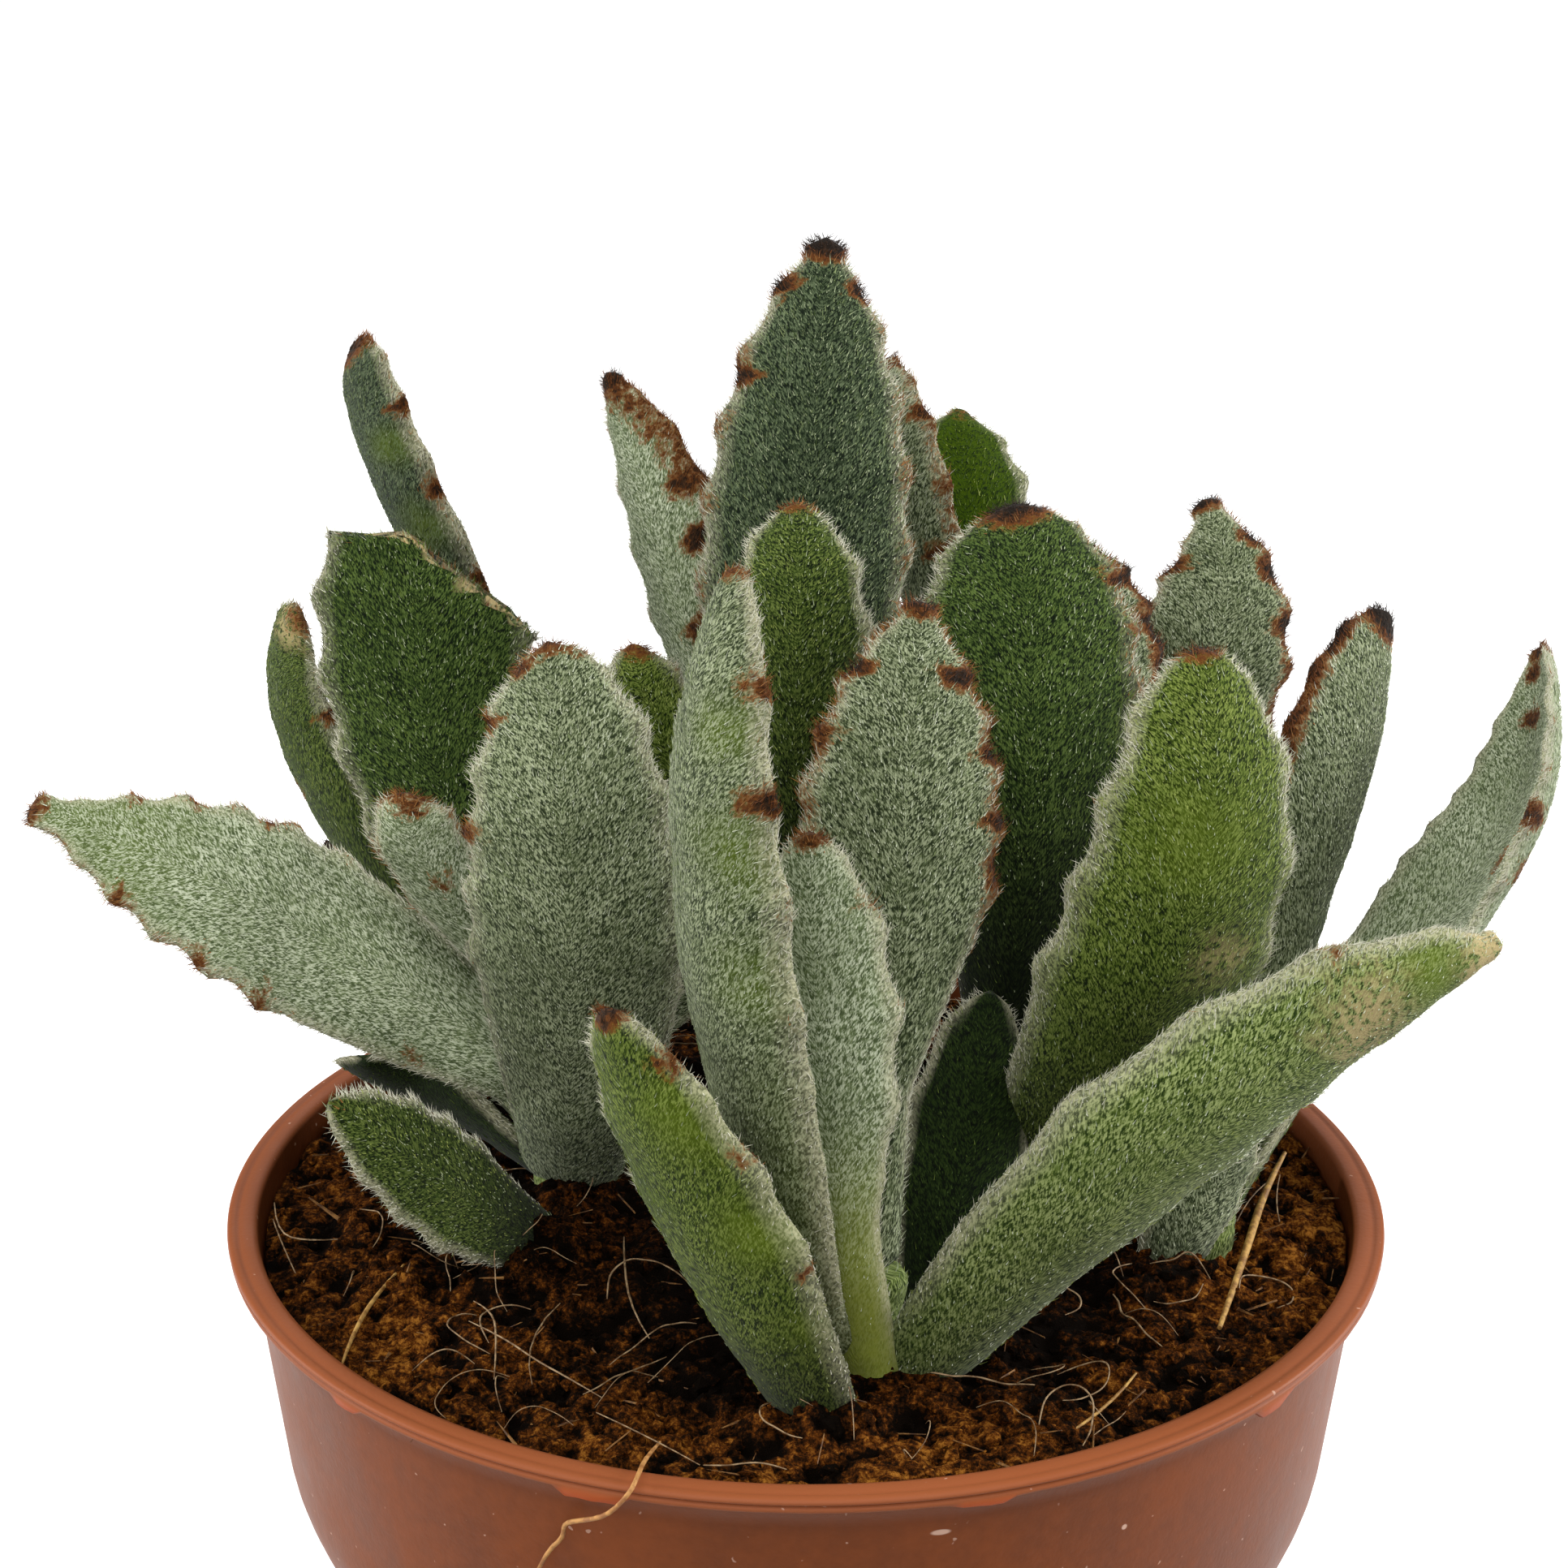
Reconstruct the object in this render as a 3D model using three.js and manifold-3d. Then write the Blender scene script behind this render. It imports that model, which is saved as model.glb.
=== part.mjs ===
// Panda plant (Kalanchoe tomentosa): seven short leafy stems in a shallow brown plastic pot.
// Millimetres, +Z up. The origin is the middle of the pot's foot, on the surface it stands on,
// and the plant's front looks along -Y.
import * as THREE from 'three';
import { mergeVertices } from 'three/addons/utils/BufferGeometryUtils.js';
import Module from 'manifold-3d';

// ---------------------------------------------------------------- driving dimensions

const GAP = 0.3; // clearance kept where two pieces touch

const POT_HEIGHT = 52;
const POT_FOOT_RADIUS = 38;
const POT_SHOULDER_HEIGHT = 27; // the straight wall starts above this
const POT_SHOULDER_RADIUS = 55.4;
const POT_SHOULDER_TURN = 4.4; // how far in and how low the shoulder's curve is pulled
const POT_TURN_HEIGHT = 12;
const POT_WALL_TOP_RADIUS = 57.9;
const POT_WALL = 1;
const RIM_RADIUS = 60;
const RIM_THICKNESS = 1.2;
const POT_SIDES = 48;

const SOIL_EDGE_BELOW_RIM = 3;
const SOIL_CROWN = 1.5; // how much higher the soil lies in the middle
const SOIL_BUMP = 0.9;
const SOIL_SIDES = 32;

const STEM_SIDES = 10;
const STEM_DEPTH = 14; // how far a stem reaches into the soil

const LEAF_SIDES = 8;
const TOOTH_DEPTH = 1.1;
const TOOTH_FULL_REACH = 6; // where the half-width is less than this, the teeth are smaller
const TOOTHED_FROM = 0.42; // the toothed stretch of a leaf, as a share of its length
const TOOTHED_TO = 0.9;
const LOWER_ROWS = [0, 0.13, 0.28];
const TIP_ROWS = [0.955, 0.99];
const FOOT_CURVE = 1.2; // how hollow the outline is between the foot and the widest place
const TIP_SHARE = 0.14; // the width of a leaf's blunt end, as a share of its widest

const SOIL_TOP = POT_HEIGHT - SOIL_EDGE_BELOW_RIM;

// Scraps of torn plastic on the rim's edge: direction seen from above, length round the rim
// and how far the scrap hangs below the rim, in degrees and millimetres.
const RIM_SCRAPS = [
  { direction: 163, span: 3, drop: 0.8 },
  { direction: 226, span: 4, drop: 0.9 },
  { direction: 252, span: 6, drop: 1.0 },
  { direction: 284, span: 6, drop: 0.7 },
  { direction: 314, span: 5, drop: 1.3 },
  { direction: 343, span: 3, drop: 0.8 },
];

// The stems: where each stands on the soil, how far its top leans, and how high it ends.
const STEMS = {
  front: { at: [6, -33], lean: [0, 1], top: 59, radius: 3.4 },
  left: { at: [-25, 0], lean: [-2, 0], top: 74, radius: 3.8 },
  right: { at: [19, -10], lean: [1, 1], top: 74, radius: 3.8 },
  middle: { at: [-2, 9], lean: [0, 2], top: 84, radius: 4 },
  back_left: { at: [-20, 28], lean: [-2, 2], top: 82, radius: 3.8 },
  back_right: { at: [24, 27], lean: [2, 2], top: 84, radius: 3.8 },
  far_right: { at: [40, -12], lean: [4, 5], top: 66, radius: 3.4 },
};

// The leaves: the stem each grows from and the height of its foot there, or where it stands in
// the soil; the points that its midrib passes half-way and at its tip; and where its upper face
// looks (degrees round from +X, degrees up). width and thick are its widest and thickest, foot its
// width at the stem, cup how far its edges curl to the upper face, widest where along it the widest
// place is, and point how its end narrows: 0.5 is round, 1 is pointed.
const LEAVES = {
  front_tall: {
    at: [3.2, -33.5, 47], middle: [-7.7, -42, 92], tip: [-6, -38, 126], face: [30, 0],
    width: 18, thick: 4.6, foot: 7, cup: 0.25, widest: 0.45, point: 0.6, teeth: 4,
  },
  front_small: {
    at: [6, -37, 46], middle: [2, -38, 77], tip: [0, -35, 102], face: [75, 0],
    width: 12, thick: 3.4, foot: 6, cup: 0.2, widest: 0.66, point: 0.6, stalk: 0.3, teeth: 3,
  },
  front_left: {
    at: [2, -40, 45], middle: [-8, -45, 68], tip: [-17, -48, 91], face: [50, 15],
    width: 17, thick: 4.6, foot: 9, cup: 0.2, widest: 0.5, point: 0.6, teeth: 3,
  },
  low_right: {
    at: [9, -34, 46.6], middle: [33, -42, 77.8], tip: [61, -34, 91], face: [105, 20],
    width: 18, thick: 5, foot: 9.5, cup: 0.2, widest: 0.46, point: 0.8, teeth: 3,
  },
  red_margin: {
    stem: 'front', z: 58, middle: [8, -28, 96], tip: [10, -21, 119], face: [95, 0],
    width: 17.5, thick: 3.8, foot: 5, cup: 0.12, widest: 0.52, point: 1, stalk: 0.2, teeth: 5,
  },
  shaded: {
    at: [11, -27, 46], middle: [15, -21, 62], tip: [18, -13, 78], face: [90, 0],
    width: 12, thick: 3.6, foot: 5.5, cup: 0.2, widest: 0.55, point: 0.6, teeth: 2,
  },
  right_big: {
    stem: 'right', z: 66, middle: [21, -12, 102], tip: [20, -2, 124], face: [90, 0],
    width: 21, thick: 4.4, foot: 6.5, cup: 0.25, widest: 0.62, point: 0.52, teeth: 4,
  },
  right_front: {
    stem: 'right', z: 54, middle: [33, -26, 87], tip: [35, -22, 115], face: [100, 0],
    width: 20, thick: 5, foot: 7, cup: 0.25, widest: 0.45, point: 0.5, teeth: 3,
  },
  middle_front: {
    stem: 'middle', z: 66, middle: [-1, -6, 104], tip: [-1, -2, 124], face: [90, 0],
    width: 13, thick: 4, foot: 6, cup: 0.25, widest: 0.6, point: 0.6, teeth: 3,
  },
  middle_tall: {
    stem: 'middle', z: 78, middle: [0, 6, 119], tip: [2, 12, 148], face: [90, 0],
    width: 20, thick: 4.4, foot: 6.5, cup: 0.2, widest: 0.45, point: 0.85, teeth: 4,
  },
  left_front: {
    stem: 'left', z: 51, middle: [-22, -20, 87], tip: [-24, -16, 114], face: [85, 0],
    width: 20, thick: 4.6, foot: 10.5, cup: 0.2, widest: 0.46, point: 0.5, teeth: 4,
  },
  left_big: {
    stem: 'left', z: 61, middle: [-52, -16, 87], tip: [-72, -20, 99], face: [-80, 45],
    width: 17, thick: 4.4, foot: 7, cup: 0.2, widest: 0.42, point: 1.25, teeth: 5,
  },
  left_low: {
    at: [-26, -9, 47], middle: [-35, -22, 61], tip: [-44, -30, 74], face: [-60, 40],
    width: 11, thick: 4, foot: 8, cup: 0.2, widest: 0.5, point: 0.6, teeth: 3,
  },
  left_small: {
    stem: 'left', z: 71, middle: [-36, -10, 89], tip: [-38, -12, 98], face: [90, 0],
    width: 8, thick: 3.4, foot: 5, cup: 0.2, widest: 0.6, point: 0.6, teeth: 2,
  },
  left_back: {
    stem: 'left', z: 66, middle: [-37.6, 6, 95], tip: [-38, 10, 126], face: [90, 0],
    width: 21, thick: 3.8, foot: 6.5, cup: 0.1, widest: 0.74, point: 0.4, teeth: 4,
    breaks: [{ at: [-43, 8, 119], tilt: 0 }, { at: [-35, 8, 115], tilt: 40 }],
  },
  left_far: {
    stem: 'left', z: 61, middle: [-52, 16, 91], tip: [-53.2, 18, 108], face: [30, 0],
    width: 15, thick: 3.8, foot: 5.5, cup: 0.2, widest: 0.6, point: 0.6, teeth: 4,
  },
  left_dark: {
    stem: 'left', z: 51, middle: [-40, 8, 57], tip: [-47, 4, 63], face: [90, 50],
    width: 16, thick: 3.6, foot: 5.5, cup: 0.2, widest: 0.5, point: 0.6, teeth: 2,
  },
  rust_edge: {
    stem: 'middle', z: 72, middle: [-11, 17, 107], tip: [-21, 24, 133], face: [50, 0],
    width: 14, thick: 3.8, foot: 5.5, cup: 0.2, widest: 0.5, point: 0.9, teeth: 4,
  },
  middle_small: {
    stem: 'middle', z: 72, middle: [-14, 6, 97], tip: [-17, 6, 108], face: [90, 0],
    width: 9, thick: 3.4, foot: 5, cup: 0.2, widest: 0.5, point: 0.8, teeth: 2,
  },
  back_left_tall: {
    stem: 'back_left', z: 66, middle: [-41.3, 20, 118], tip: [-46.4, 22, 135], face: [30, 0],
    width: 16, thick: 3.8, foot: 5.5, cup: 0.2, widest: 0.4, point: 1, teeth: 4,
  },
  behind_middle: {
    stem: 'back_right', z: 78, middle: [11, 18, 117], tip: [9, 24, 134], face: [30, 0],
    width: 15, thick: 3.8, foot: 5.5, cup: 0.2, widest: 0.5, point: 0.9, teeth: 4,
  },
  bright_back: {
    stem: 'back_right', z: 72, middle: [19, 36, 111], tip: [18, 42, 126], face: [90, 0],
    width: 14, thick: 4, foot: 5.5, cup: 0.2, widest: 0.5, point: 0.9, teeth: 3,
  },
  behind_right: {
    stem: 'right', z: 70, middle: [27, 6, 100.3], tip: [26, 14, 117.2], face: [90, 0],
    width: 19, thick: 3.8, foot: 5.5, cup: 0.15, widest: 0.5, point: 0.8, teeth: 5,
  },
  back_right_blue: {
    stem: 'back_right', z: 66, middle: [42, 18, 99], tip: [43, 26, 119], face: [90, 0],
    width: 17, thick: 3.8, foot: 5.5, cup: 0.12, widest: 0.5, point: 1.05, teeth: 4,
  },
  dark_tip: {
    stem: 'far_right', z: 60, middle: [51, -6, 93], tip: [57, 0, 113], face: [140, 0],
    width: 19, thick: 4.2, foot: 8, cup: 0.25, widest: 0.52, point: 0.7, teeth: 4,
  },
  far_right_channel: {
    stem: 'far_right', z: 61, middle: [66.6, -8, 87], tip: [73.6, 2, 109], face: [190, 0],
    width: 17, thick: 3.4, foot: 6, cup: 0.45, widest: 0.5, point: 0.7, teeth: 5,
  },
  right_low: {
    at: [34.5, -19, 46], middle: [39, -15, 56], tip: [44.5, -14, 65], face: [90, 20],
    width: 9, thick: 3.6, foot: 6, cup: 0.2, widest: 0.5, point: 0.6, teeth: 2,
  },
  back_low_left: {
    stem: 'back_left', z: 60, middle: [-36, 42, 76], tip: [-48, 50, 90], face: [-60, 50],
    width: 17, thick: 4, foot: 6, cup: 0.25, widest: 0.55, point: 0.7, teeth: 4,
  },
  back_upright: {
    stem: 'back_left', z: 70, middle: [-19, 42, 82], tip: [-20, 47, 94], face: [-95, 10],
    width: 18, thick: 4.2, foot: 6, cup: 0.25, widest: 0.55, point: 0.6, teeth: 4,
  },
  back_middle: {
    stem: 'middle', z: 66, middle: [3, 28, 84], tip: [3, 36, 104], face: [-90, 10],
    width: 17, thick: 4.2, foot: 6, cup: 0.25, widest: 0.55, point: 0.7, teeth: 4,
  },
  back_right_upright: {
    stem: 'back_right', z: 62, middle: [31, 44, 82], tip: [35, 51, 102], face: [-100, 15],
    width: 18, thick: 4.2, foot: 6, cup: 0.25, widest: 0.55, point: 0.6, teeth: 4,
  },
  back_low_right: {
    stem: 'back_right', z: 57, middle: [45, 36, 68], tip: [57, 42, 80], face: [-140, 50],
    width: 15, thick: 4, foot: 6, cup: 0.25, widest: 0.55, point: 0.7, teeth: 3,
  },
  back_small: {
    stem: 'back_left', z: 55, middle: [-8, 44, 64], tip: [-3, 52, 76], face: [-90, 50],
    width: 13, thick: 3.8, foot: 5.5, cup: 0.2, widest: 0.55, point: 0.7, teeth: 3,
  },
  back_centre: {
    stem: 'back_right', z: 64, middle: [12, 44, 78], tip: [8, 54, 92], face: [-70, 40],
    width: 16, thick: 4, foot: 6, cup: 0.25, widest: 0.55, point: 0.7, teeth: 3,
  },
  back_left_upright: {
    stem: 'back_left', z: 74, middle: [-30, 38, 86], tip: [-36, 43, 98], face: [-60, 20],
    width: 15, thick: 4, foot: 6, cup: 0.25, widest: 0.55, point: 0.7, teeth: 3,
  },
  back_inner: {
    stem: 'middle', z: 60, middle: [-12, 22, 76], tip: [-16, 30, 90], face: [-60, 20],
    width: 14, thick: 4, foot: 6, cup: 0.25, widest: 0.55, point: 0.7, teeth: 3,
  },
  right_inner: {
    stem: 'right', z: 58, middle: [34, 4, 74], tip: [42, 12, 86], face: [-120, 40],
    width: 15, thick: 4, foot: 6, cup: 0.25, widest: 0.55, point: 0.7, teeth: 3,
  },
  side_left: {
    stem: 'left', z: 55, middle: [-43, 18, 68], tip: [-54, 26, 80], face: [-30, 55],
    width: 14, thick: 3.8, foot: 5.5, cup: 0.2, widest: 0.55, point: 0.7, teeth: 3,
  },
  side_right: {
    stem: 'far_right', z: 50, middle: [54, 8, 64], tip: [61, 16, 70], face: [190, 50],
    width: 13, thick: 3.8, foot: 5.5, cup: 0.2, widest: 0.55, point: 0.7, teeth: 3,
  },
};

// Straws that lie on the soil and a root that hangs over the rim: points along each, and its
// thickness.
const FIBRES = {
  straw_right: {
    thick: 1.2, points: [[50.9, 0, 54], [47.8, -5, 52], [43.8, -17, 51.2], [39, -30, 50.6]],
  },
  straw_left: {
    thick: 0.8, points: [[-40, -18, 50.6], [-42, -24, 50.5], [-43, -31, 50.2], [-43, -36, 50.3]],
  },
  straw_front: {
    thick: 0.8, points: [[30, -38, 50.6], [27, -43, 50.2], [23, -47, 50.2]],
  },
  root_over_rim: {
    thick: 0.8,
    points: [
      [-13, -49, 50.5], [-14, -54, 52.2], [-14.4, -58, 53], [-15, -59.6, 52.4], [-17, -59, 49.8],
      [-19.5, -56.9, 48], [-21, -55.2, 46.6], [-21, -55, 45], [-22.8, -54, 42.8], [-24.5, -52.8, 38],
    ],
  },
};
const FIBRE_SIDES = 6;

// ---------------------------------------------------------------- solids

const wasm = await Module();
wasm.setup();

/** The manifold solid of a closed geometry. */
function solidOf(geometry) {
  const bare = geometry.clone();
  bare.deleteAttribute('normal');
  bare.deleteAttribute('uv');
  const merged = mergeVertices(bare, 1e-4);
  const mesh = new wasm.Mesh({
    numProp: 3,
    vertProperties: new Float32Array(merged.attributes.position.array),
    triVerts: new Uint32Array(merged.index.array),
  });
  return new wasm.Manifold(mesh);
}

/** The geometry of a manifold solid's largest body. */
function geometryOf(solid) {
  const bodies = solid.decompose();
  bodies.sort((a, b) => b.volume() - a.volume());
  const mesh = bodies[0].getMesh();
  const geometry = new THREE.BufferGeometry();
  geometry.setAttribute('position', new THREE.BufferAttribute(mesh.vertProperties, 3));
  geometry.setIndex(new THREE.BufferAttribute(mesh.triVerts, 1));
  geometry.computeVertexNormals();
  return geometry;
}

/** A lathed solid round the Z axis from a profile of [radius, height] points. */
function latheSolid(profile, sides) {
  const points = profile.map(([radius, height]) => new THREE.Vector2(radius, height));
  const geometry = new THREE.LatheGeometry(points, sides);
  geometry.rotateX(Math.PI / 2);
  return solidOf(geometry);
}

// ---------------------------------------------------------------- pot

/** The points of the pot's rounded shoulder, from the foot up, moved in by the wall's inset. */
function shoulderCurve(inset) {
  const foot = new THREE.Vector2(POT_FOOT_RADIUS - inset, inset);
  const corner = new THREE.Vector2(POT_SHOULDER_RADIUS - POT_SHOULDER_TURN - inset, POT_TURN_HEIGHT + inset);
  const shoulder = new THREE.Vector2(POT_SHOULDER_RADIUS - inset, POT_SHOULDER_HEIGHT);
  const curve = new THREE.QuadraticBezierCurve(foot, corner, shoulder);
  return curve.getPoints(5).map((point) => [point.x, point.y]);
}

/** A scrap of torn plastic that hangs from the rim's edge. */
function rimScrap({ direction, span, drop }) {
  const start = THREE.MathUtils.degToRad(direction - span / 2);
  const end = THREE.MathUtils.degToRad(direction + span / 2);
  const outline = new THREE.Shape();
  outline.absarc(0, 0, RIM_RADIUS + 0.2, start, end, false);
  outline.absarc(0, 0, RIM_RADIUS - 1, end, start, true);
  const depth = drop + RIM_THICKNESS / 2;
  const geometry = new THREE.ExtrudeGeometry(outline, { depth, bevelEnabled: false, curveSegments: 3 });
  geometry.translate(0, 0, POT_HEIGHT - RIM_THICKNESS - drop);
  return solidOf(geometry);
}

/** The pot: a thin shell with a flat rim, a straight wall and a rounded shoulder. */
function potSolid() {
  const rimFoot = POT_HEIGHT - RIM_THICKNESS;
  const outside = [[0, 0], ...shoulderCurve(0)];
  const rim = [
    [POT_WALL_TOP_RADIUS, rimFoot],
    [RIM_RADIUS - 0.4, rimFoot],
    [RIM_RADIUS, rimFoot + 0.4],
    [RIM_RADIUS, POT_HEIGHT - 0.3],
    [RIM_RADIUS - 0.4, POT_HEIGHT],
    [POT_WALL_TOP_RADIUS - POT_WALL, POT_HEIGHT],
  ];
  const inside = [...shoulderCurve(POT_WALL).reverse(), [0, POT_WALL]];
  let pot = latheSolid([...outside, ...rim, ...inside], POT_SIDES);
  for (const scrap of RIM_SCRAPS) {
    pot = pot.add(rimScrap(scrap));
  }
  return pot;
}

// ---------------------------------------------------------------- stems

/** The middle of a stem at a height: stems stand upright in the soil and lean above it. */
function stemMiddle({ at, lean, top }, z) {
  const rise = Math.max(0, (z - SOIL_TOP) / (top - SOIL_TOP));
  return new THREE.Vector3(at[0] + lean[0] * rise, at[1] + lean[1] * rise, z);
}

/** A stem with a domed top, made wider all round by grow. */
function stemSolid(stem, grow = 0) {
  const foot = SOIL_TOP - STEM_DEPTH - grow;
  const levels = [foot, SOIL_TOP - 2, SOIL_TOP + 2, (SOIL_TOP + stem.top) / 2, stem.top - 2, stem.top];
  const geometry = new THREE.CylinderGeometry(1, 1, levels.length - 1, STEM_SIDES, levels.length - 1);
  const position = geometry.attributes.position;
  for (let i = 0; i < position.count; i += 1) {
    const level = Math.round(position.getY(i) + (levels.length - 1) / 2);
    const top = level === levels.length - 1;
    const radius = (stem.radius + grow) * (top ? 0.6 : 1);
    const point = stemMiddle(stem, levels[level] + (top ? grow : 0));
    point.x += radius * position.getX(i);
    point.y -= radius * position.getZ(i);
    position.setXYZ(i, point.x, point.y, point.z);
  }
  return solidOf(geometry);
}

// ---------------------------------------------------------------- leaves

/** The curve of a leaf's midrib, from the middle of its stem to its tip. */
function midrib(leaf) {
  const foot = leaf.at ? new THREE.Vector3(...leaf.at) : stemMiddle(STEMS[leaf.stem], leaf.z);
  const middle = new THREE.Vector3(...leaf.middle);
  const tip = new THREE.Vector3(...leaf.tip);
  const pull = middle.clone().multiplyScalar(2).addScaledVector(foot, -0.5).addScaledVector(tip, -0.5);
  return new THREE.QuadraticBezierCurve3(foot, pull, tip);
}

/** The direction that a leaf's upper face looks in. */
function faceDirection([round, up]) {
  const azimuth = THREE.MathUtils.degToRad(round);
  const rise = THREE.MathUtils.degToRad(up);
  const level = Math.cos(rise);
  return new THREE.Vector3(level * Math.cos(azimuth), level * Math.sin(azimuth), Math.sin(rise));
}

/** Half of a leaf's width at a share t of its length: a narrow foot, widest about half-way. */
function halfWidth(leaf, t) {
  const foot = leaf.foot / leaf.width;
  if (t < leaf.widest) {
    const stalk = leaf.stalk ?? 0;
    const rise = Math.sin((Math.PI / 2) * Math.max(0, (t - stalk) / (leaf.widest - stalk)));
    return (leaf.width / 2) * (foot + (1 - foot) * rise ** FOOT_CURVE);
  }
  const past = (t - leaf.widest) / (1 - leaf.widest);
  const share = Math.max(TIP_SHARE, (1 - past * past) ** leaf.point);
  return (leaf.width / 2) * share;
}

/** Half of a leaf's thickness at a share t of its length. */
function halfThickness(leaf, t) {
  return (leaf.thick / 2) * (0.8 + 0.2 * Math.sin(Math.PI * t)) * (1 - 0.55 * t ** 4);
}

/** The rows of a leaf from foot to tip, with two to each tooth. */
function leafRows(leaf) {
  const steps = leaf.teeth * 2;
  const toothed = [];
  for (let i = 0; i <= steps; i += 1) {
    toothed.push(TOOTHED_FROM + (TOOTHED_TO - TOOTHED_FROM) * (i / steps));
  }
  return [...LOWER_ROWS, ...toothed, ...TIP_ROWS];
}

/** Whether a row has a tooth on one side: the two sides take turns. */
function hasTooth(leaf, row, side) {
  const index = row - LOWER_ROWS.length;
  const inside = index >= 0 && index <= leaf.teeth * 2;
  return inside && index % 2 === (side > 0 ? 0 : 1);
}

/** The block of space above a broken edge that passes a point and falls to +X by tilt degrees. */
function brokenOff({ at, tilt }) {
  const size = 40;
  const block = new THREE.BoxGeometry(size, size, size);
  block.translate(0, 0, size / 2);
  block.rotateY(THREE.MathUtils.degToRad(tilt));
  block.translate(...at);
  return solidOf(block);
}

/** A leaf: a fleshy blade with toothed edges, made fatter all round by grow. */
function leafSolid(leaf, grow = 0) {
  const rows = leafRows(leaf);
  const last = rows.length - 1;
  const curve = midrib(leaf);
  const face = faceDirection(leaf.face);
  const geometry = new THREE.CylinderGeometry(1, 1, last, LEAF_SIDES, last);
  const position = geometry.attributes.position;
  for (let i = 0; i < position.count; i += 1) {
    const row = Math.round(position.getY(i) + last / 2);
    const across = position.getX(i);
    const through = position.getZ(i);
    const along = curve.getTangent(rows[row]);
    const up = face.clone().addScaledVector(along, -face.dot(along)).normalize();
    const side = along.clone().cross(up);
    const reach = halfWidth(leaf, rows[row]) + grow;
    const toothed = Math.abs(across) > 0.9 && hasTooth(leaf, row, across);
    const tooth = toothed ? TOOTH_DEPTH * Math.min(1, reach / TOOTH_FULL_REACH) : 0;
    const depth = halfThickness(leaf, rows[row]) + grow;
    const flatter = through > 0 ? 0.75 : 1.1;
    const curl = leaf.cup * halfWidth(leaf, rows[row]) * across ** 2;
    const point = curve.getPoint(rows[row]);
    point.addScaledVector(side, reach * across + tooth * Math.sign(across));
    point.addScaledVector(up, depth * flatter * through + curl);
    position.setXYZ(i, point.x, point.y, point.z);
  }
  return (leaf.breaks ?? []).reduce((blade, place) => blade.subtract(brokenOff(place)), solidOf(geometry));
}

// ---------------------------------------------------------------- soil

/** How much the soil's surface stands above its edge at a point. */
function soilRise(x, y) {
  const out = Math.hypot(x, y) / RIM_RADIUS;
  const crown = SOIL_CROWN * (1 - out * out);
  const coarse = Math.sin(x * 0.31 + 1.2) * Math.cos(y * 0.27 - 0.6);
  const fine = Math.sin(x * 0.63 - y * 0.41) * Math.cos(y * 0.71 + 0.9);
  return crown + SOIL_BUMP * (0.6 * coarse + 0.4 * fine);
}

/** The soil: it fills the pot, with an uneven top. */
function soilSolid() {
  const inset = POT_WALL + GAP;
  const wallSlope = (POT_WALL_TOP_RADIUS - POT_SHOULDER_RADIUS) / (POT_HEIGHT - RIM_THICKNESS - POT_SHOULDER_HEIGHT);
  const edge = POT_SHOULDER_RADIUS - inset + wallSlope * (SOIL_TOP - POT_SHOULDER_HEIGHT);
  const sides = [[0, inset], ...shoulderCurve(inset), [edge, SOIL_TOP]];
  const rings = [0.93, 0.82, 0.7, 0.56, 0.4, 0.2, 0];
  const top = rings.map((share) => [edge * share, SOIL_TOP]);
  const points = [...sides, ...top].map(([radius, height]) => new THREE.Vector2(radius, height));
  const geometry = new THREE.LatheGeometry(points, SOIL_SIDES);
  geometry.rotateX(Math.PI / 2);
  const position = geometry.attributes.position;
  for (let i = 0; i < position.count; i += 1) {
    const [x, y, z] = [position.getX(i), position.getY(i), position.getZ(i)];
    if (z > SOIL_TOP - 0.01) {
      position.setZ(i, SOIL_TOP + soilRise(x, y));
    }
  }
  return solidOf(geometry);
}

// ---------------------------------------------------------------- fibres

/** A straw or a root: a thin tube along its points. */
function fibreSolid({ thick, points }) {
  const path = new THREE.CatmullRomCurve3(points.map((point) => new THREE.Vector3(...point)));
  const section = new THREE.Shape();
  section.absellipse(0, 0, thick / 2, thick / 2, 0, 2 * Math.PI);
  const steps = 2 * (points.length - 1);
  const options = { extrudePath: path, steps, bevelEnabled: false, curveSegments: FIBRE_SIDES / 2 };
  return solidOf(new THREE.ExtrudeGeometry(section, options));
}

// ---------------------------------------------------------------- assembly

const FINISHES = {
  plastic: { color: 0x9a5238, roughness: 0.45, metalness: 0 },
  soil: { color: 0x5a3a1c, roughness: 1, metalness: 0 },
  stem: { color: 0x8a9a74, roughness: 0.9, metalness: 0 },
  fibre: { color: 0xb08a4a, roughness: 0.8, metalness: 0 },
  leaf: { color: 0x6f8a68, roughness: 0.9, metalness: 0 },
};

const plant = new THREE.Group();

/** Adds one named piece to the plant. */
function addPiece(name, solid, finish) {
  const mesh = new THREE.Mesh(geometryOf(solid), new THREE.MeshStandardMaterial(FINISHES[finish]));
  mesh.name = name;
  plant.add(mesh);
}

/** Whether two solids' boxes come within reach of each other. */
function near(a, b) {
  const [first, second] = [a.boundingBox(), b.boundingBox()];
  return [0, 1, 2].every((axis) => first.min[axis] < second.max[axis] && second.min[axis] < first.max[axis]);
}

/** Adds the stems and returns them as solids that are GAP wider. */
function addStems() {
  return Object.entries(STEMS).map(([name, stem]) => {
    addPiece(`stem_${name}`, stemSolid(stem), 'stem');
    return stemSolid(stem, GAP);
  });
}

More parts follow.
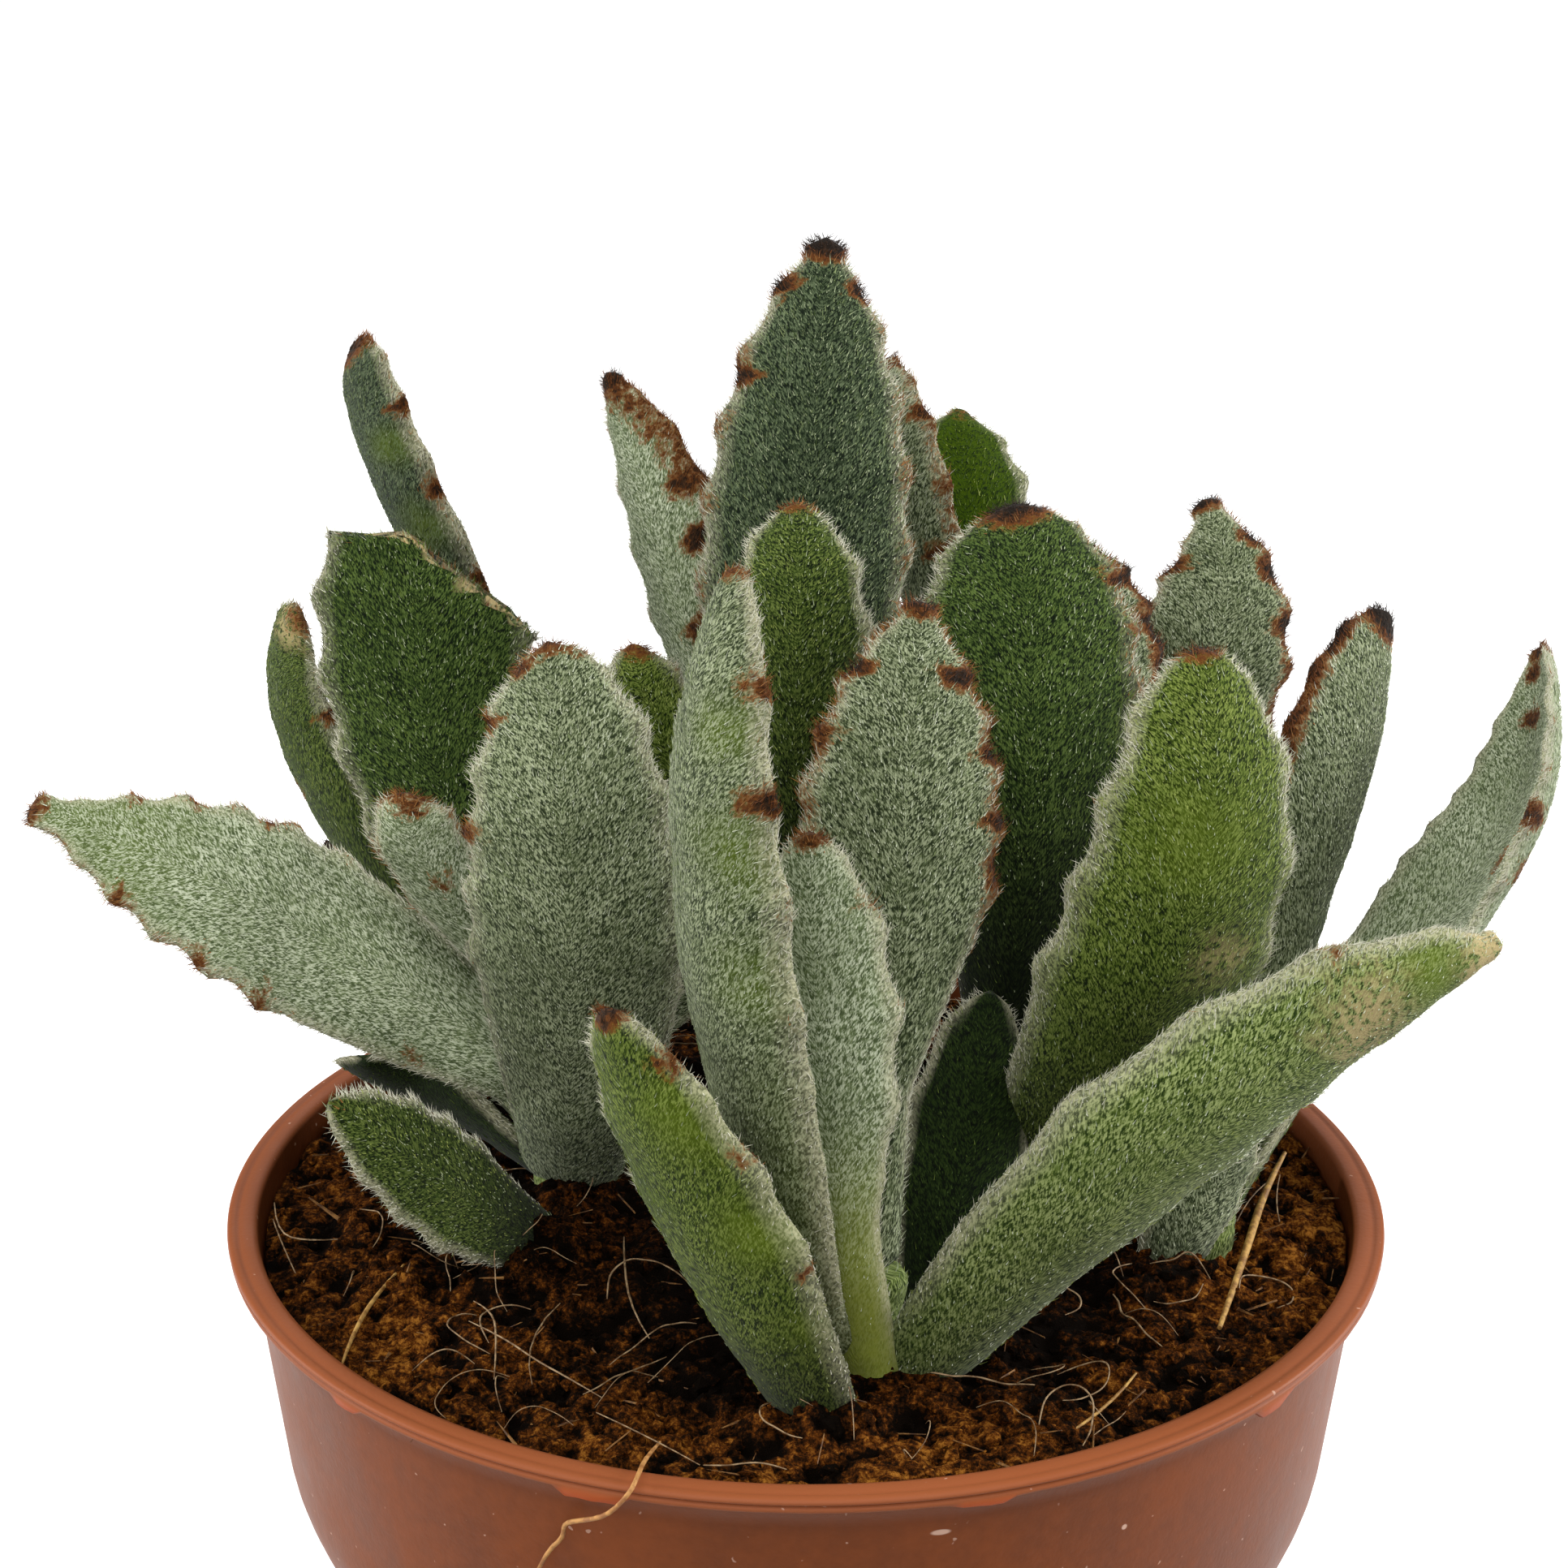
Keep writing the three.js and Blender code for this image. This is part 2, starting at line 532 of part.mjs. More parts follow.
/** Adds the leaves, each cut clear of what is there already, and returns what it is cut by. */
function addLeaves(cutters) {
  for (const [name, leaf] of Object.entries(LEAVES)) {
    let solid = leafSolid(leaf);
    for (const cutter of cutters) {
      if (near(solid, cutter)) {
        solid = solid.subtract(cutter);
      }
    }
    addPiece(`leaf_${name}`, solid, 'leaf');
    cutters.push(leafSolid(leaf, GAP));
  }
  return cutters;
}

/** Adds the soil with a plain hole for each stem and leaf foot that stands in it. */
function addSoil(cutters) {
  let soil = soilSolid();
  for (const cutter of cutters) {
    if (near(soil, cutter)) {
      soil = soil.subtract(cutter);
    }
  }
  addPiece('soil', soil, 'soil');
}

addPiece('pot', potSolid(), 'plastic');
for (const [name, fibre] of Object.entries(FIBRES)) {
  addPiece(name, fibreSolid(fibre), 'fibre');
}
addSoil(addLeaves(addStems()));

export default plant;
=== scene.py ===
"""A panda plant in its brown plastic pot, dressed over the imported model.

Every leaf is a fleshy blade under a coat of separate hairs. The soil is a crumbly fill with loose
crumbs, fine roots and straws, and the pot is a thin moulded shell with a ragged rim. Sizes are in
millimetres and become metres when a piece is made.
"""

import logging
import math
import random
from dataclasses import dataclass
from enum import Enum
from functools import partial
from typing import Any, Callable, Iterable, Sequence

import bmesh
import bpy
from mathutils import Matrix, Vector, noise


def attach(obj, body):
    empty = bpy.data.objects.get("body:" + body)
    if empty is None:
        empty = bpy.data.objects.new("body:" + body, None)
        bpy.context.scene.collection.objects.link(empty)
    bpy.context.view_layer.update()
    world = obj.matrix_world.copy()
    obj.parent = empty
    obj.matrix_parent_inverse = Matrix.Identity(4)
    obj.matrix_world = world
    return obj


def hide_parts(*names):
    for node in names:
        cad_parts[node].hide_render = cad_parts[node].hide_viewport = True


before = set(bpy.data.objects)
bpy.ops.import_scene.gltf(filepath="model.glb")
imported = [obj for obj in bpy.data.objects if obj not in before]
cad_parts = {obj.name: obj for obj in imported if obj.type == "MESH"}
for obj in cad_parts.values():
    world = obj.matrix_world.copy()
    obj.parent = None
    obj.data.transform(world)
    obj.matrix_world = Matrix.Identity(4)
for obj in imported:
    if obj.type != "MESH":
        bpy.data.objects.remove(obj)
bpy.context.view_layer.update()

log = logging.getLogger("panda_plant")

MM = 0.001
BODY = "root"

POT_HEIGHT = 52.0
SOIL_TOP = 49.0

Pair = tuple[float, float]
Triple = tuple[float, float, float]
Colour = tuple[float, float, float, float]


def srgb(red: int, green: int, blue: int) -> Colour:
    """The linear colour of a screen colour given as three numbers from 0 to 255."""
    shares = (red / 255, green / 255, blue / 255)
    linear = [s / 12.92 if s <= 0.04045 else ((s + 0.055) / 1.055) ** 2.4 for s in shares]
    return (linear[0], linear[1], linear[2], 1.0)


def smooth(value: float, low: float, high: float) -> float:
    """A smooth step from 0 at low to 1 at high, which may be the lower of the two."""
    share = min(1.0, max(0.0, (value - low) / (high - low)))
    return share * share * (3 - 2 * share)


def latitude(vert: bmesh.types.BMVert) -> float:
    """Where a point of a unit ball lies, from 0 at its lower pole to 1 at its upper."""
    return math.acos(max(-1.0, min(1.0, -vert.co.z))) / math.pi


def round_end(share: float, start: float, end: float) -> float:
    """How wide a rounded end is, from 1 where it starts to 0 where it ends."""
    return math.sqrt(max(0.0, 1 - smooth(share, start, end) ** 2))


# ---------------------------------------------------------------- node trees


class Signal:
    """A node's output. Its sums, differences and products are Math nodes."""

    def __init__(self, graph: "Graph", socket: bpy.types.NodeSocket) -> None:
        """Keeps the output and the graph that it belongs to."""
        self.graph = graph
        self.socket = socket

    def __add__(self, other: Any) -> "Signal":
        """The sum of this and a number or a signal."""
        return self.graph.math("ADD", self, other)

    def __sub__(self, other: Any) -> "Signal":
        """This less a number or a signal."""
        return self.graph.math("SUBTRACT", self, other)

    def __rsub__(self, other: float) -> "Signal":
        """A number less this."""
        return self.graph.math("SUBTRACT", other, self)

    def __mul__(self, other: Any) -> "Signal":
        """The product of this and a number or a signal."""
        return self.graph.math("MULTIPLY", self, other)

    def span(self, low: float, high: float, start: float = 0.0, end: float = 1.0) -> "Signal":
        """This number's smooth step between low and high, from start to end."""
        ends = {"Value": self, "From Min": low, "From Max": high, "To Min": start, "To Max": end}
        return self.graph.out("ShaderNodeMapRange", ends, interpolation_type="SMOOTHSTEP")

    def noise(self, scale: float, detail: float = 2.0, roughness: float = 0.5) -> "Signal":
        """A cloudy noise from 0 to 1, read at this vector."""
        inputs = {"Vector": self, "Scale": scale, "Detail": detail, "Roughness": roughness}
        return self.graph.out("ShaderNodeTexNoise", inputs)

    def stretch(self, by: Triple) -> "Signal":
        """This vector with each of its axes scaled."""
        return self.graph.vector("MULTIPLY", self, by)

    def scaled(self, by: Any) -> "Signal":
        """This vector, longer by a factor."""
        return self.graph.vector("SCALE", self, by)


class Graph:
    """Adds nodes to a tree and joins them. An input that gets a signal is linked, not set."""

    def __init__(self, tree: bpy.types.NodeTree) -> None:
        """Keeps the tree that the nodes go into."""
        self.tree = tree

    def add(self, kind: str, inputs: dict[str, Any] | None = None,
            **settings: Any) -> bpy.types.Node:
        """Adds one node.

        Args:
            kind: the node's type name.
            inputs: what each named input gets, a value or a signal.
            settings: the node's own properties, such as its operation.

        Returns:
            The new node.
        """
        node = self.tree.nodes.new(kind)
        for name, value in settings.items():
            setattr(node, name, value)
        for name, value in (inputs or {}).items():
            self.feed(next(s for s in node.inputs if s.enabled and s.name == name), value)
        return node

    def feed(self, socket: bpy.types.NodeSocket, value: Any) -> None:
        """Links a signal to an input, or sets the input's value."""
        if isinstance(value, Signal):
            self.tree.links.new(value.socket, socket)
        else:
            socket.default_value = value

    def signal(self, node: bpy.types.Node, name: str = "") -> Signal:
        """A node's output of that name, or else its first one."""
        return Signal(self, next(s for s in node.outputs if s.enabled and name in ("", s.name)))

    def out(self, kind: str, inputs: dict[str, Any] | None = None, name: str = "",
            **settings: Any) -> Signal:
        """Adds one node, as add does, and gives its output of that name, or else its first."""
        return self.signal(self.add(kind, inputs, **settings), name)

    def result(self, kind: str, operation: str, values: Sequence[Any]) -> Signal:
        """The result of a node that does an operation on these values."""
        node = self.add(kind, operation=operation)
        for socket, value in zip([s for s in node.inputs if s.enabled], values):
            self.feed(socket, value)
        return self.signal(node)

    def math(self, operation: str, *values: Any) -> Signal:
        """The result of a Math node with these values."""
        return self.result("ShaderNodeMath", operation, values)

    def vector(self, operation: str, *values: Any) -> Signal:
        """The result of a Vector Math node, in which SCALE takes a vector and a number."""
        return self.result("ShaderNodeVectorMath", operation, values)


class Shader(Graph):
    """A material under construction, round one Principled surface."""

    def __init__(self, name: str, roughness: float, **surface: Any) -> None:
        """Starts a material.

        Args:
            name: the material's name.
            roughness: the surface's roughness where no pattern drives it.
            surface: other constants of the surface, with underscores for spaces.
        """
        self.material = bpy.data.materials.new(name)
        self.material.use_nodes = True
        super().__init__(self.material.node_tree)
        self.surface = self.tree.nodes["Principled BSDF"]
        for key, value in {"Roughness": roughness, **surface}.items():
            self.surface.inputs[key.replace("_", " ")].default_value = value

    def place(self) -> Signal:
        """The object's own coordinates, in millimetres."""
        return self.out("ShaderNodeTexCoord", name="Object").scaled(1 / MM)

    def read(self, name: str, kind: str = "Fac") -> Signal:
        """A mesh attribute, as a number or, where kind is Vector, as a vector."""
        return self.out("ShaderNodeAttribute", name=kind, attribute_name=name)

    def mix(self, share: Any, first: Any, second: Any) -> Signal:
        """A blend of two colours."""
        colours = {"Factor": share, "A": first, "B": second}
        return self.out("ShaderNodeMix", colours, data_type="RGBA")

    def ramp(self, value: Signal, *stops: tuple[float, Colour]) -> Signal:
        """A colour that changes with a value through the given stops."""
        node = self.add("ShaderNodeValToRGB", {"Fac": value})
        elements = node.color_ramp.elements
        while len(elements) < len(stops):
            elements.new(0.5)
        for element, (position, colour) in zip(elements, stops):
            element.position = position
            element.color = colour
        return self.signal(node, "Color")

    def paint(self, colour: Any, roughness: Signal | None = None) -> None:
        """Gives the surface its colour and, where a pattern drives it, its roughness."""
        self.feed(self.surface.inputs["Base Color"], colour)
        if roughness:
            self.feed(self.surface.inputs["Roughness"], roughness)

    def emboss(self, height: Signal, depth: float) -> None:
        """Gives the surface a fine relief, as deep as depth in millimetres."""
        inputs = {"Height": height, "Distance": depth * MM, "Strength": 1.0}
        self.feed(self.surface.inputs["Normal"], self.out("ShaderNodeBump", inputs))


# ---------------------------------------------------------------- finishes


@dataclass(frozen=True)
class Finish:
    """The look of a material that all its pieces share."""

    name: str

    def material(self) -> bpy.types.Material:
        """The material, made once for all that wear it."""
        return bpy.data.materials.get(self.name) or self.make()

    def make(self) -> bpy.types.Material:
        """Makes the material, which each kind of finish does in its own way."""
        raise NotImplementedError


@dataclass(frozen=True)
class HairTone(Finish):
    """The finish of one tone of hair."""

    colour: Colour

    def make(self) -> bpy.types.Material:
        """Makes a soft plain tone."""
        shader = Shader(self.name, 0.75, Specular_IOR_Level=0.15, Sheen_Weight=0.05)
        shader.paint(self.colour)
        return shader.material


CREAM = HairTone("hair_cream", srgb(206, 204, 184))
SILVER = HairTone("hair_silver", srgb(196, 202, 176))
GREY_GREEN = HairTone("hair_grey_green", srgb(158, 168, 132))
SAGE = HairTone("hair_sage", srgb(122, 136, 90))
OLIVE = HairTone("hair_olive", srgb(142, 154, 78))
MOSS = HairTone("hair_moss", srgb(94, 112, 40))
PINE = HairTone("hair_pine", srgb(58, 76, 28))
TAN = HairTone("hair_tan", srgb(146, 100, 52))
RUST = HairTone("hair_rust", srgb(102, 57, 23))
DARK = HairTone("hair_dark", srgb(36, 24, 15))


@dataclass(frozen=True)
class Felt(Finish):
    """The look of a leaf's skin and fur: green under lying hairs, with brown teeth.

    Attributes:
        gap: the dark green between the hairs, partly the skin and partly painted shade deep in the
            felt.
        skin: the leaf's own green.
        wool: the paler hairs that lie on the skin.
        cover: how much of the skin the lying hairs hide.
        hairs: the three tones of the standing hairs.
        shares: the shares of the first two tones.
    """

    gap: Colour
    skin: Colour
    wool: Colour
    cover: float
    hairs: tuple[HairTone, HairTone, HairTone]
    shares: Pair

    VIVID = srgb(88, 106, 14)
    YELLOW_FOOT = srgb(124, 132, 38)
    # painted shade: the near-black that an inner leaf's lower part is darkened to
    PAINTED_SHADE = srgb(4, 8, 3)
    FRINGE = srgb(184, 180, 150)
    SCAR = srgb(182, 162, 116)
    BROWNS = ((0.2, srgb(130, 88, 38)), (0.45, srgb(106, 60, 22)), (0.7, srgb(56, 35, 18)),
              (0.95, srgb(26, 18, 11)))
    LYING_GRAIN = (6.6, 1.7, 3.0)
    UPRIGHT_GRAIN = (7.4, 1.9, 3.0)
    PATCHES = 0.22
    MOTTLES = 1.2
    RELIEF = 0.16

    def make(self) -> bpy.types.Material:
        """Makes the skin of a blade, from the attributes that the blade carries in millimetres."""
        shader = Shader(self.name, 0.85, Specular_IOR_Level=0.08, Sheen_Weight=0.08,
                        Sheen_Roughness=0.45)
        rest, strand = shader.read("rest", "Vector"), shader.read("strand", "Vector")
        lying = strand.stretch(self.LYING_GRAIN).noise(1.0, 2.0, 0.6)
        upright = rest.stretch(self.UPRIGHT_GRAIN).noise(1.0, 2.0, 0.6)
        fine = lying * 0.6 + upright * 0.4
        mottle = rest.noise(self.MOTTLES, 3.0, 0.6)
        depth = fine + (mottle - 0.5) * 0.35
        skin = self.greens(shader, fine, rest.noise(self.PATCHES, 3.0), depth)
        skin = self.browns(shader, skin, fine, mottle)
        # painted shade: an inner leaf's lower part is darkened towards near-black
        shader.paint(shader.mix(shader.read("dim"), skin, self.PAINTED_SHADE),
                     fine.span(0.3, 0.7, 0.75, 0.95))
        shader.emboss(fine + mottle * 0.3, self.RELIEF)
        return shader.material

    def greens(self, shader: Shader, fine: Signal, patch: Signal, depth: Signal) -> Signal:
        """The felt without its brown: paler where hairs lie, vivid where they are rubbed off.

        Args:
            shader: the material under construction.
            fine: the grain of the lying hairs.
            patch: the slow change from place to place.
            depth: how near to the top of the felt a place is.

        Returns:
            The colour.
        """
        bald = shader.read("bare") * patch.span(0.3, 0.5, 0.5, 0.9)
        hairy = fine.span(0.45, 0.61) * patch.span(0.25, 0.75, 0.7, 1.25)
        hairy = hairy * (1.0 - bald * 0.55)
        foot = shader.read("rise").span(0.55, 0.15) * shader.read("glow")
        layers = ((depth.span(0.36, 0.56), self.skin), (bald, self.VIVID),
                  (hairy * self.cover, self.wool),
                  (foot * depth.span(0.3, 0.6, 0.65, 0.92), self.YELLOW_FOOT),
                  (shader.read("edge") * depth.span(0.36, 0.62, 0.25, 0.85), self.FRINGE))
        # the gap: partly the skin's green, partly painted shade deep in the felt
        colour = self.gap
        for share, layer in layers:
            colour = shader.mix(share, colour, layer)
        return colour

    def browns(self, shader: Shader, skin: Signal, fine: Signal, mottle: Signal) -> Signal:
        """The felt with its pale scars and its brown teeth and tips.

        Args:
            shader: the material under construction.
            skin: the colour without them.
            fine: the grain of the lying hairs.
            mottle: the change over a millimetre or so.

        Returns:
            The colour.
        """
        scarred = shader.read("scar") * mottle.span(0.38, 0.54)
        skin = shader.mix(scarred * 0.9, skin, self.SCAR)
        rust = shader.read("rust")
        ragged = rust + (fine - 0.5) * 0.6 + (mottle - 0.5) * 1.3
        shown = ragged.span(0.14, 0.56) * rust.span(0.03, 0.2)
        return shader.mix(shown, skin, shader.ramp(ragged, *self.BROWNS))


class Coat(Enum):
    """The coats of fur that the leaves wear, from pale felt to bright bare green, and a darker one
    of painted shade.
    """

    PALE = Felt("felt_pale", srgb(70, 82, 52), srgb(112, 126, 86), srgb(198, 205, 178), 0.85,
                (SILVER, GREY_GREEN, SAGE), (0.6, 0.3))
    SILVERY = Felt("felt_silvery", srgb(32, 41, 22), srgb(74, 85, 52), srgb(166, 174, 140), 0.78,
                   (SILVER, GREY_GREEN, SAGE), (0.42, 0.36))
    MISTY = Felt("felt_misty", srgb(32, 48, 10), srgb(84, 102, 40), srgb(166, 178, 116), 0.75,
                 (SILVER, GREY_GREEN, OLIVE), (0.4, 0.35))
    DEEP = Felt("felt_deep", srgb(12, 21, 11), srgb(37, 50, 29), srgb(114, 128, 95), 0.63,
                (GREY_GREEN, SAGE, PINE), (0.4, 0.4))
    MEADOW = Felt("felt_meadow", srgb(14, 26, 1), srgb(58, 76, 12), srgb(136, 150, 76), 0.64,
                  (GREY_GREEN, OLIVE, MOSS), (0.35, 0.35))
    COPSE = Felt("felt_copse", srgb(8, 18, 1), srgb(42, 60, 10), srgb(114, 128, 64), 0.62,
                 (GREY_GREEN, OLIVE, PINE), (0.32, 0.24))
    FOREST = Felt("felt_forest", srgb(4, 14, 1), srgb(30, 48, 10), srgb(100, 120, 60), 0.62,
                  (GREY_GREEN, MOSS, PINE), (0.28, 0.36))
    # a darker copy of the forest felt: painted shade for leaves deep in the rosette
    SHADY = Felt("felt_shady", srgb(3, 9, 1), srgb(16, 30, 5), srgb(52, 68, 26), 0.55,
                 (MOSS, PINE, PINE), (0.2, 0.4))
    BRIGHT = Felt("felt_bright", srgb(16, 30, 0), srgb(50, 72, 0), srgb(70, 86, 2), 0.4,
                  (OLIVE, MOSS, PINE), (0.06, 0.44))


@dataclass(frozen=True)
class Earth(Finish):
    """The finish of the soil: crumbs of peat and coir from nearly black to golden."""

    name: str = "peat_and_coir"

    BROWNS = ((0.33, srgb(9, 4, 1)), (0.45, srgb(46, 23, 5)), (0.55, srgb(90, 47, 11)),
              (0.7, srgb(155, 100, 36)))

    def make(self) -> bpy.types.Material:
        """Makes crumbs of many browns, darker in the hollows as painted shade, and darker towards
        the middle, partly damp soil and partly painted shade.
        """
        shader = Shader(self.name, 0.95, Specular_IOR_Level=0.04)
        place = shader.place()
        drift, grit = place.noise(0.07), place.noise(2.6, 3.0, 0.7)
        tone = place.noise(0.95) * 0.6 + drift * 0.4 + (grit - 0.5) * 0.7
        # painted shade in the hollows; towards the middle, darker for damp soil and painted shade
        tone = tone - shader.read("hollow") * 0.34 - shader.read("damp") * 0.14
        shader.paint(shader.ramp(tone, *self.BROWNS), drift.span(0.3, 0.7, 0.85, 1.0))
        shader.emboss(grit + place.noise(9.0), 0.25)
        return shader.material


@dataclass(frozen=True)
class Fibre(Finish):
    """The finish of a straw or a root."""

    pale: Colour
    dark: Colour

    def make(self) -> bpy.types.Material:
        """Makes a fibre that is streaked along its length."""
        shader = Shader(self.name, 0.6, Specular_IOR_Level=0.35)
        place = shader.place()
        streak = place.noise(1.1, 4.0, 0.6)
        shader.paint(shader.mix(streak.span(0.35, 0.65), self.dark, self.pale),
                     streak.span(0.3, 0.7, 0.5, 0.75))
        shader.emboss(place.noise(6.0), 0.05)
        return shader.material


GOLDEN_STRAW = Fibre("golden_straw", srgb(186, 146, 78), srgb(120, 82, 36))
PALE_ROOT = Fibre("pale_root", srgb(188, 138, 80), srgb(138, 88, 42))
FINE_ROOT = Fibre("fine_root", srgb(158, 132, 98), srgb(92, 66, 38))
COIR = Fibre("coir", srgb(138, 96, 46), srgb(66, 38, 16))


@dataclass(frozen=True)
class Plastic(Finish):
    """The finish of the pot: thin brown plastic, a little mottled, with brighter torn edges."""

    name: str = "brown_plastic"

    BROWN = srgb(119, 61, 27)
    DEEP = srgb(99, 49, 18)
    RIM = srgb(138, 76, 44)
    SHADE = srgb(60, 28, 12)
    TORN = srgb(184, 82, 34)
    SPECK = srgb(206, 170, 150)
    SHADED = (46.4, 49.6)
    FLECKS = (((11.1, -56.4, 46.5), (0.5, 1.0, 1.6), 0.55), ((27.7, -49.9, 42.5), (1, 1, 1), 0.35))

    def make(self) -> bpy.types.Material:
        """Makes the mottled plastic: shaded under the rim, dusty, with two pale flecks."""
        shader = Shader(self.name, 0.4, Specular_IOR_Level=0.12)
        place = shader.place()
        cloud = place.stretch((1, 1, 0.6)).noise(0.09, 5.0, 0.65)
        tone = cloud * 0.7 + place.noise(0.8, 3.0, 0.6) * 0.3
        height = shader.out("ShaderNodeSeparateXYZ", {"Vector": place}, "Z")
        layers = [(tone.span(0.3, 0.7), self.BROWN),
                  (height.span(*self.SHADED, 0.0, 0.4), self.SHADE),
                  (shader.read("lip"), self.RIM), (shader.read("torn") * 0.85, self.TORN),
                  (place.noise(1.1, 1.0).span(0.76, 0.8, 0.0, 0.5), self.SPECK)]
        for at, squash, radius in self.FLECKS:
            off = shader.vector("LENGTH", shader.vector("SUBTRACT", place, at).stretch(squash))
            layers.append((off.span(radius, 0.6 * radius, 0.0, 0.9), self.SPECK))
        colour = self.DEEP
        for share, layer in layers:
            colour = shader.mix(share, colour, layer)
        shader.paint(colour, cloud.span(0.2, 0.8, 0.36, 0.52))
        shader.emboss(place.noise(2.4, 3.0) * 0.3 + tone, 0.08)
        return shader.material


# ---------------------------------------------------------------- meshes


def put(name: str, data: Any) -> bpy.types.Object:
    """Puts a new object into the scene, at the origin."""
    thing = bpy.data.objects.new(name, data)
    bpy.context.scene.collection.objects.link(thing)
    return thing


def finish_piece(piece: bpy.types.Object, slot: str, *nodes: str) -> None:
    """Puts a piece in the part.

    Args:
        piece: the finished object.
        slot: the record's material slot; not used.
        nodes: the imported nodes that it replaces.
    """
    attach(piece, BODY)
    if nodes:
        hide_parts(*nodes)
    log.info("%s: %d faces", piece.name, len(piece.data.polygons))


def make_piece(name: str, form: bmesh.types.BMesh,
               material: bpy.types.Material) -> bpy.types.Object:
    """Makes an object of a form that is in millimetres.

    Args:
        name: the piece's name.
        form: the bmesh, which is freed.
        material: the piece's material.

    Returns:
        The object, smooth shaded, at the origin.
    """
    bmesh.ops.scale(form, vec=(MM, MM, MM), verts=form.verts)
    mesh = bpy.data.meshes.new(name)
    form.to_mesh(mesh)
    form.free()
    mesh.materials.append(material)
    mesh.shade_smooth()
    return put(name, mesh)


def settle(piece: bpy.types.Object) -> bpy.types.Object:
    """Turns a piece with live modifiers, or a curve, into a plain mesh object of the same name."""
    bpy.context.view_layer.update()
    seen = piece.evaluated_get(bpy.context.evaluated_depsgraph_get())
    mesh = bpy.data.meshes.new_from_object(seen)
    name = piece.name
    bpy.data.objects.remove(piece)
    mesh.name = name
    return put(name, mesh)


def number_layers(form: bmesh.types.BMesh, *names: str) -> list[bmesh.types.BMLayerItem]:
    """Adds attributes to a form, each a number on every point."""
    return [form.verts.layers.float.new(name) for name in names]


def spun(outline: Sequence[Pair], steps: int) -> bmesh.types.BMesh:
    """A solid of revolution round the Z axis.

    Args:
        outline: points of (radius, height) that start and end on the axis.
        steps: how many steps the turn has.

    Returns:
        The closed form, its faces pointing out.
    """
    form = bmesh.new()
    points = [form.verts.new((radius, 0, height)) for radius, height in outline]
    edges = [form.edges.new(pair) for pair in zip(points, points[1:])]
    bmesh.ops.spin(form, geom=points + edges, axis=(0, 0, 1), cent=(0, 0, 0), steps=steps,
                   angle=2 * math.pi, use_merge=True)
    bmesh.ops.remove_doubles(form, verts=form.verts, dist=0.001)
    bmesh.ops.recalc_face_normals(form, faces=form.faces)
    return form


def strands(name: str, lines: Iterable[Sequence[Triple]], radii: Sequence[float], fibre: Fibre,
            sides: int = 2) -> bpy.types.Object:
    """Tubes along lines, tapered at their ends, as one mesh.

    Args:
        name: the piece's name.
        lines: the points that each tube follows, in millimetres.
        radii: each tube's radius.
        fibre: the finish.
        sides: the bevel's resolution, 0 for four sides.

    Returns:
        The mesh object.
    """
    end_taper = 0.55
    curve = bpy.data.curves.new(name, "CURVE")
    curve.dimensions = "3D"
    curve.bevel_depth = MM
    curve.bevel_resolution = sides
    curve.resolution_u = 3
    curve.use_fill_caps = True
    curve.materials.append(fibre.material())
    for line, radius in zip(lines, radii):
        spline = curve.splines.new("NURBS")
        spline.points.add(len(line) - 1)
        spline.use_endpoint_u = True
        spline.order_u = 3
        for point, place in zip(spline.points, line):
            point.co = (*(size * MM for size in place), 1)
            point.radius = radius
        for point in (spline.points[0], spline.points[-1]):
            point.radius = radius * end_taper
    return settle(put(name, curve))


# ---------------------------------------------------------------- small things on a surface


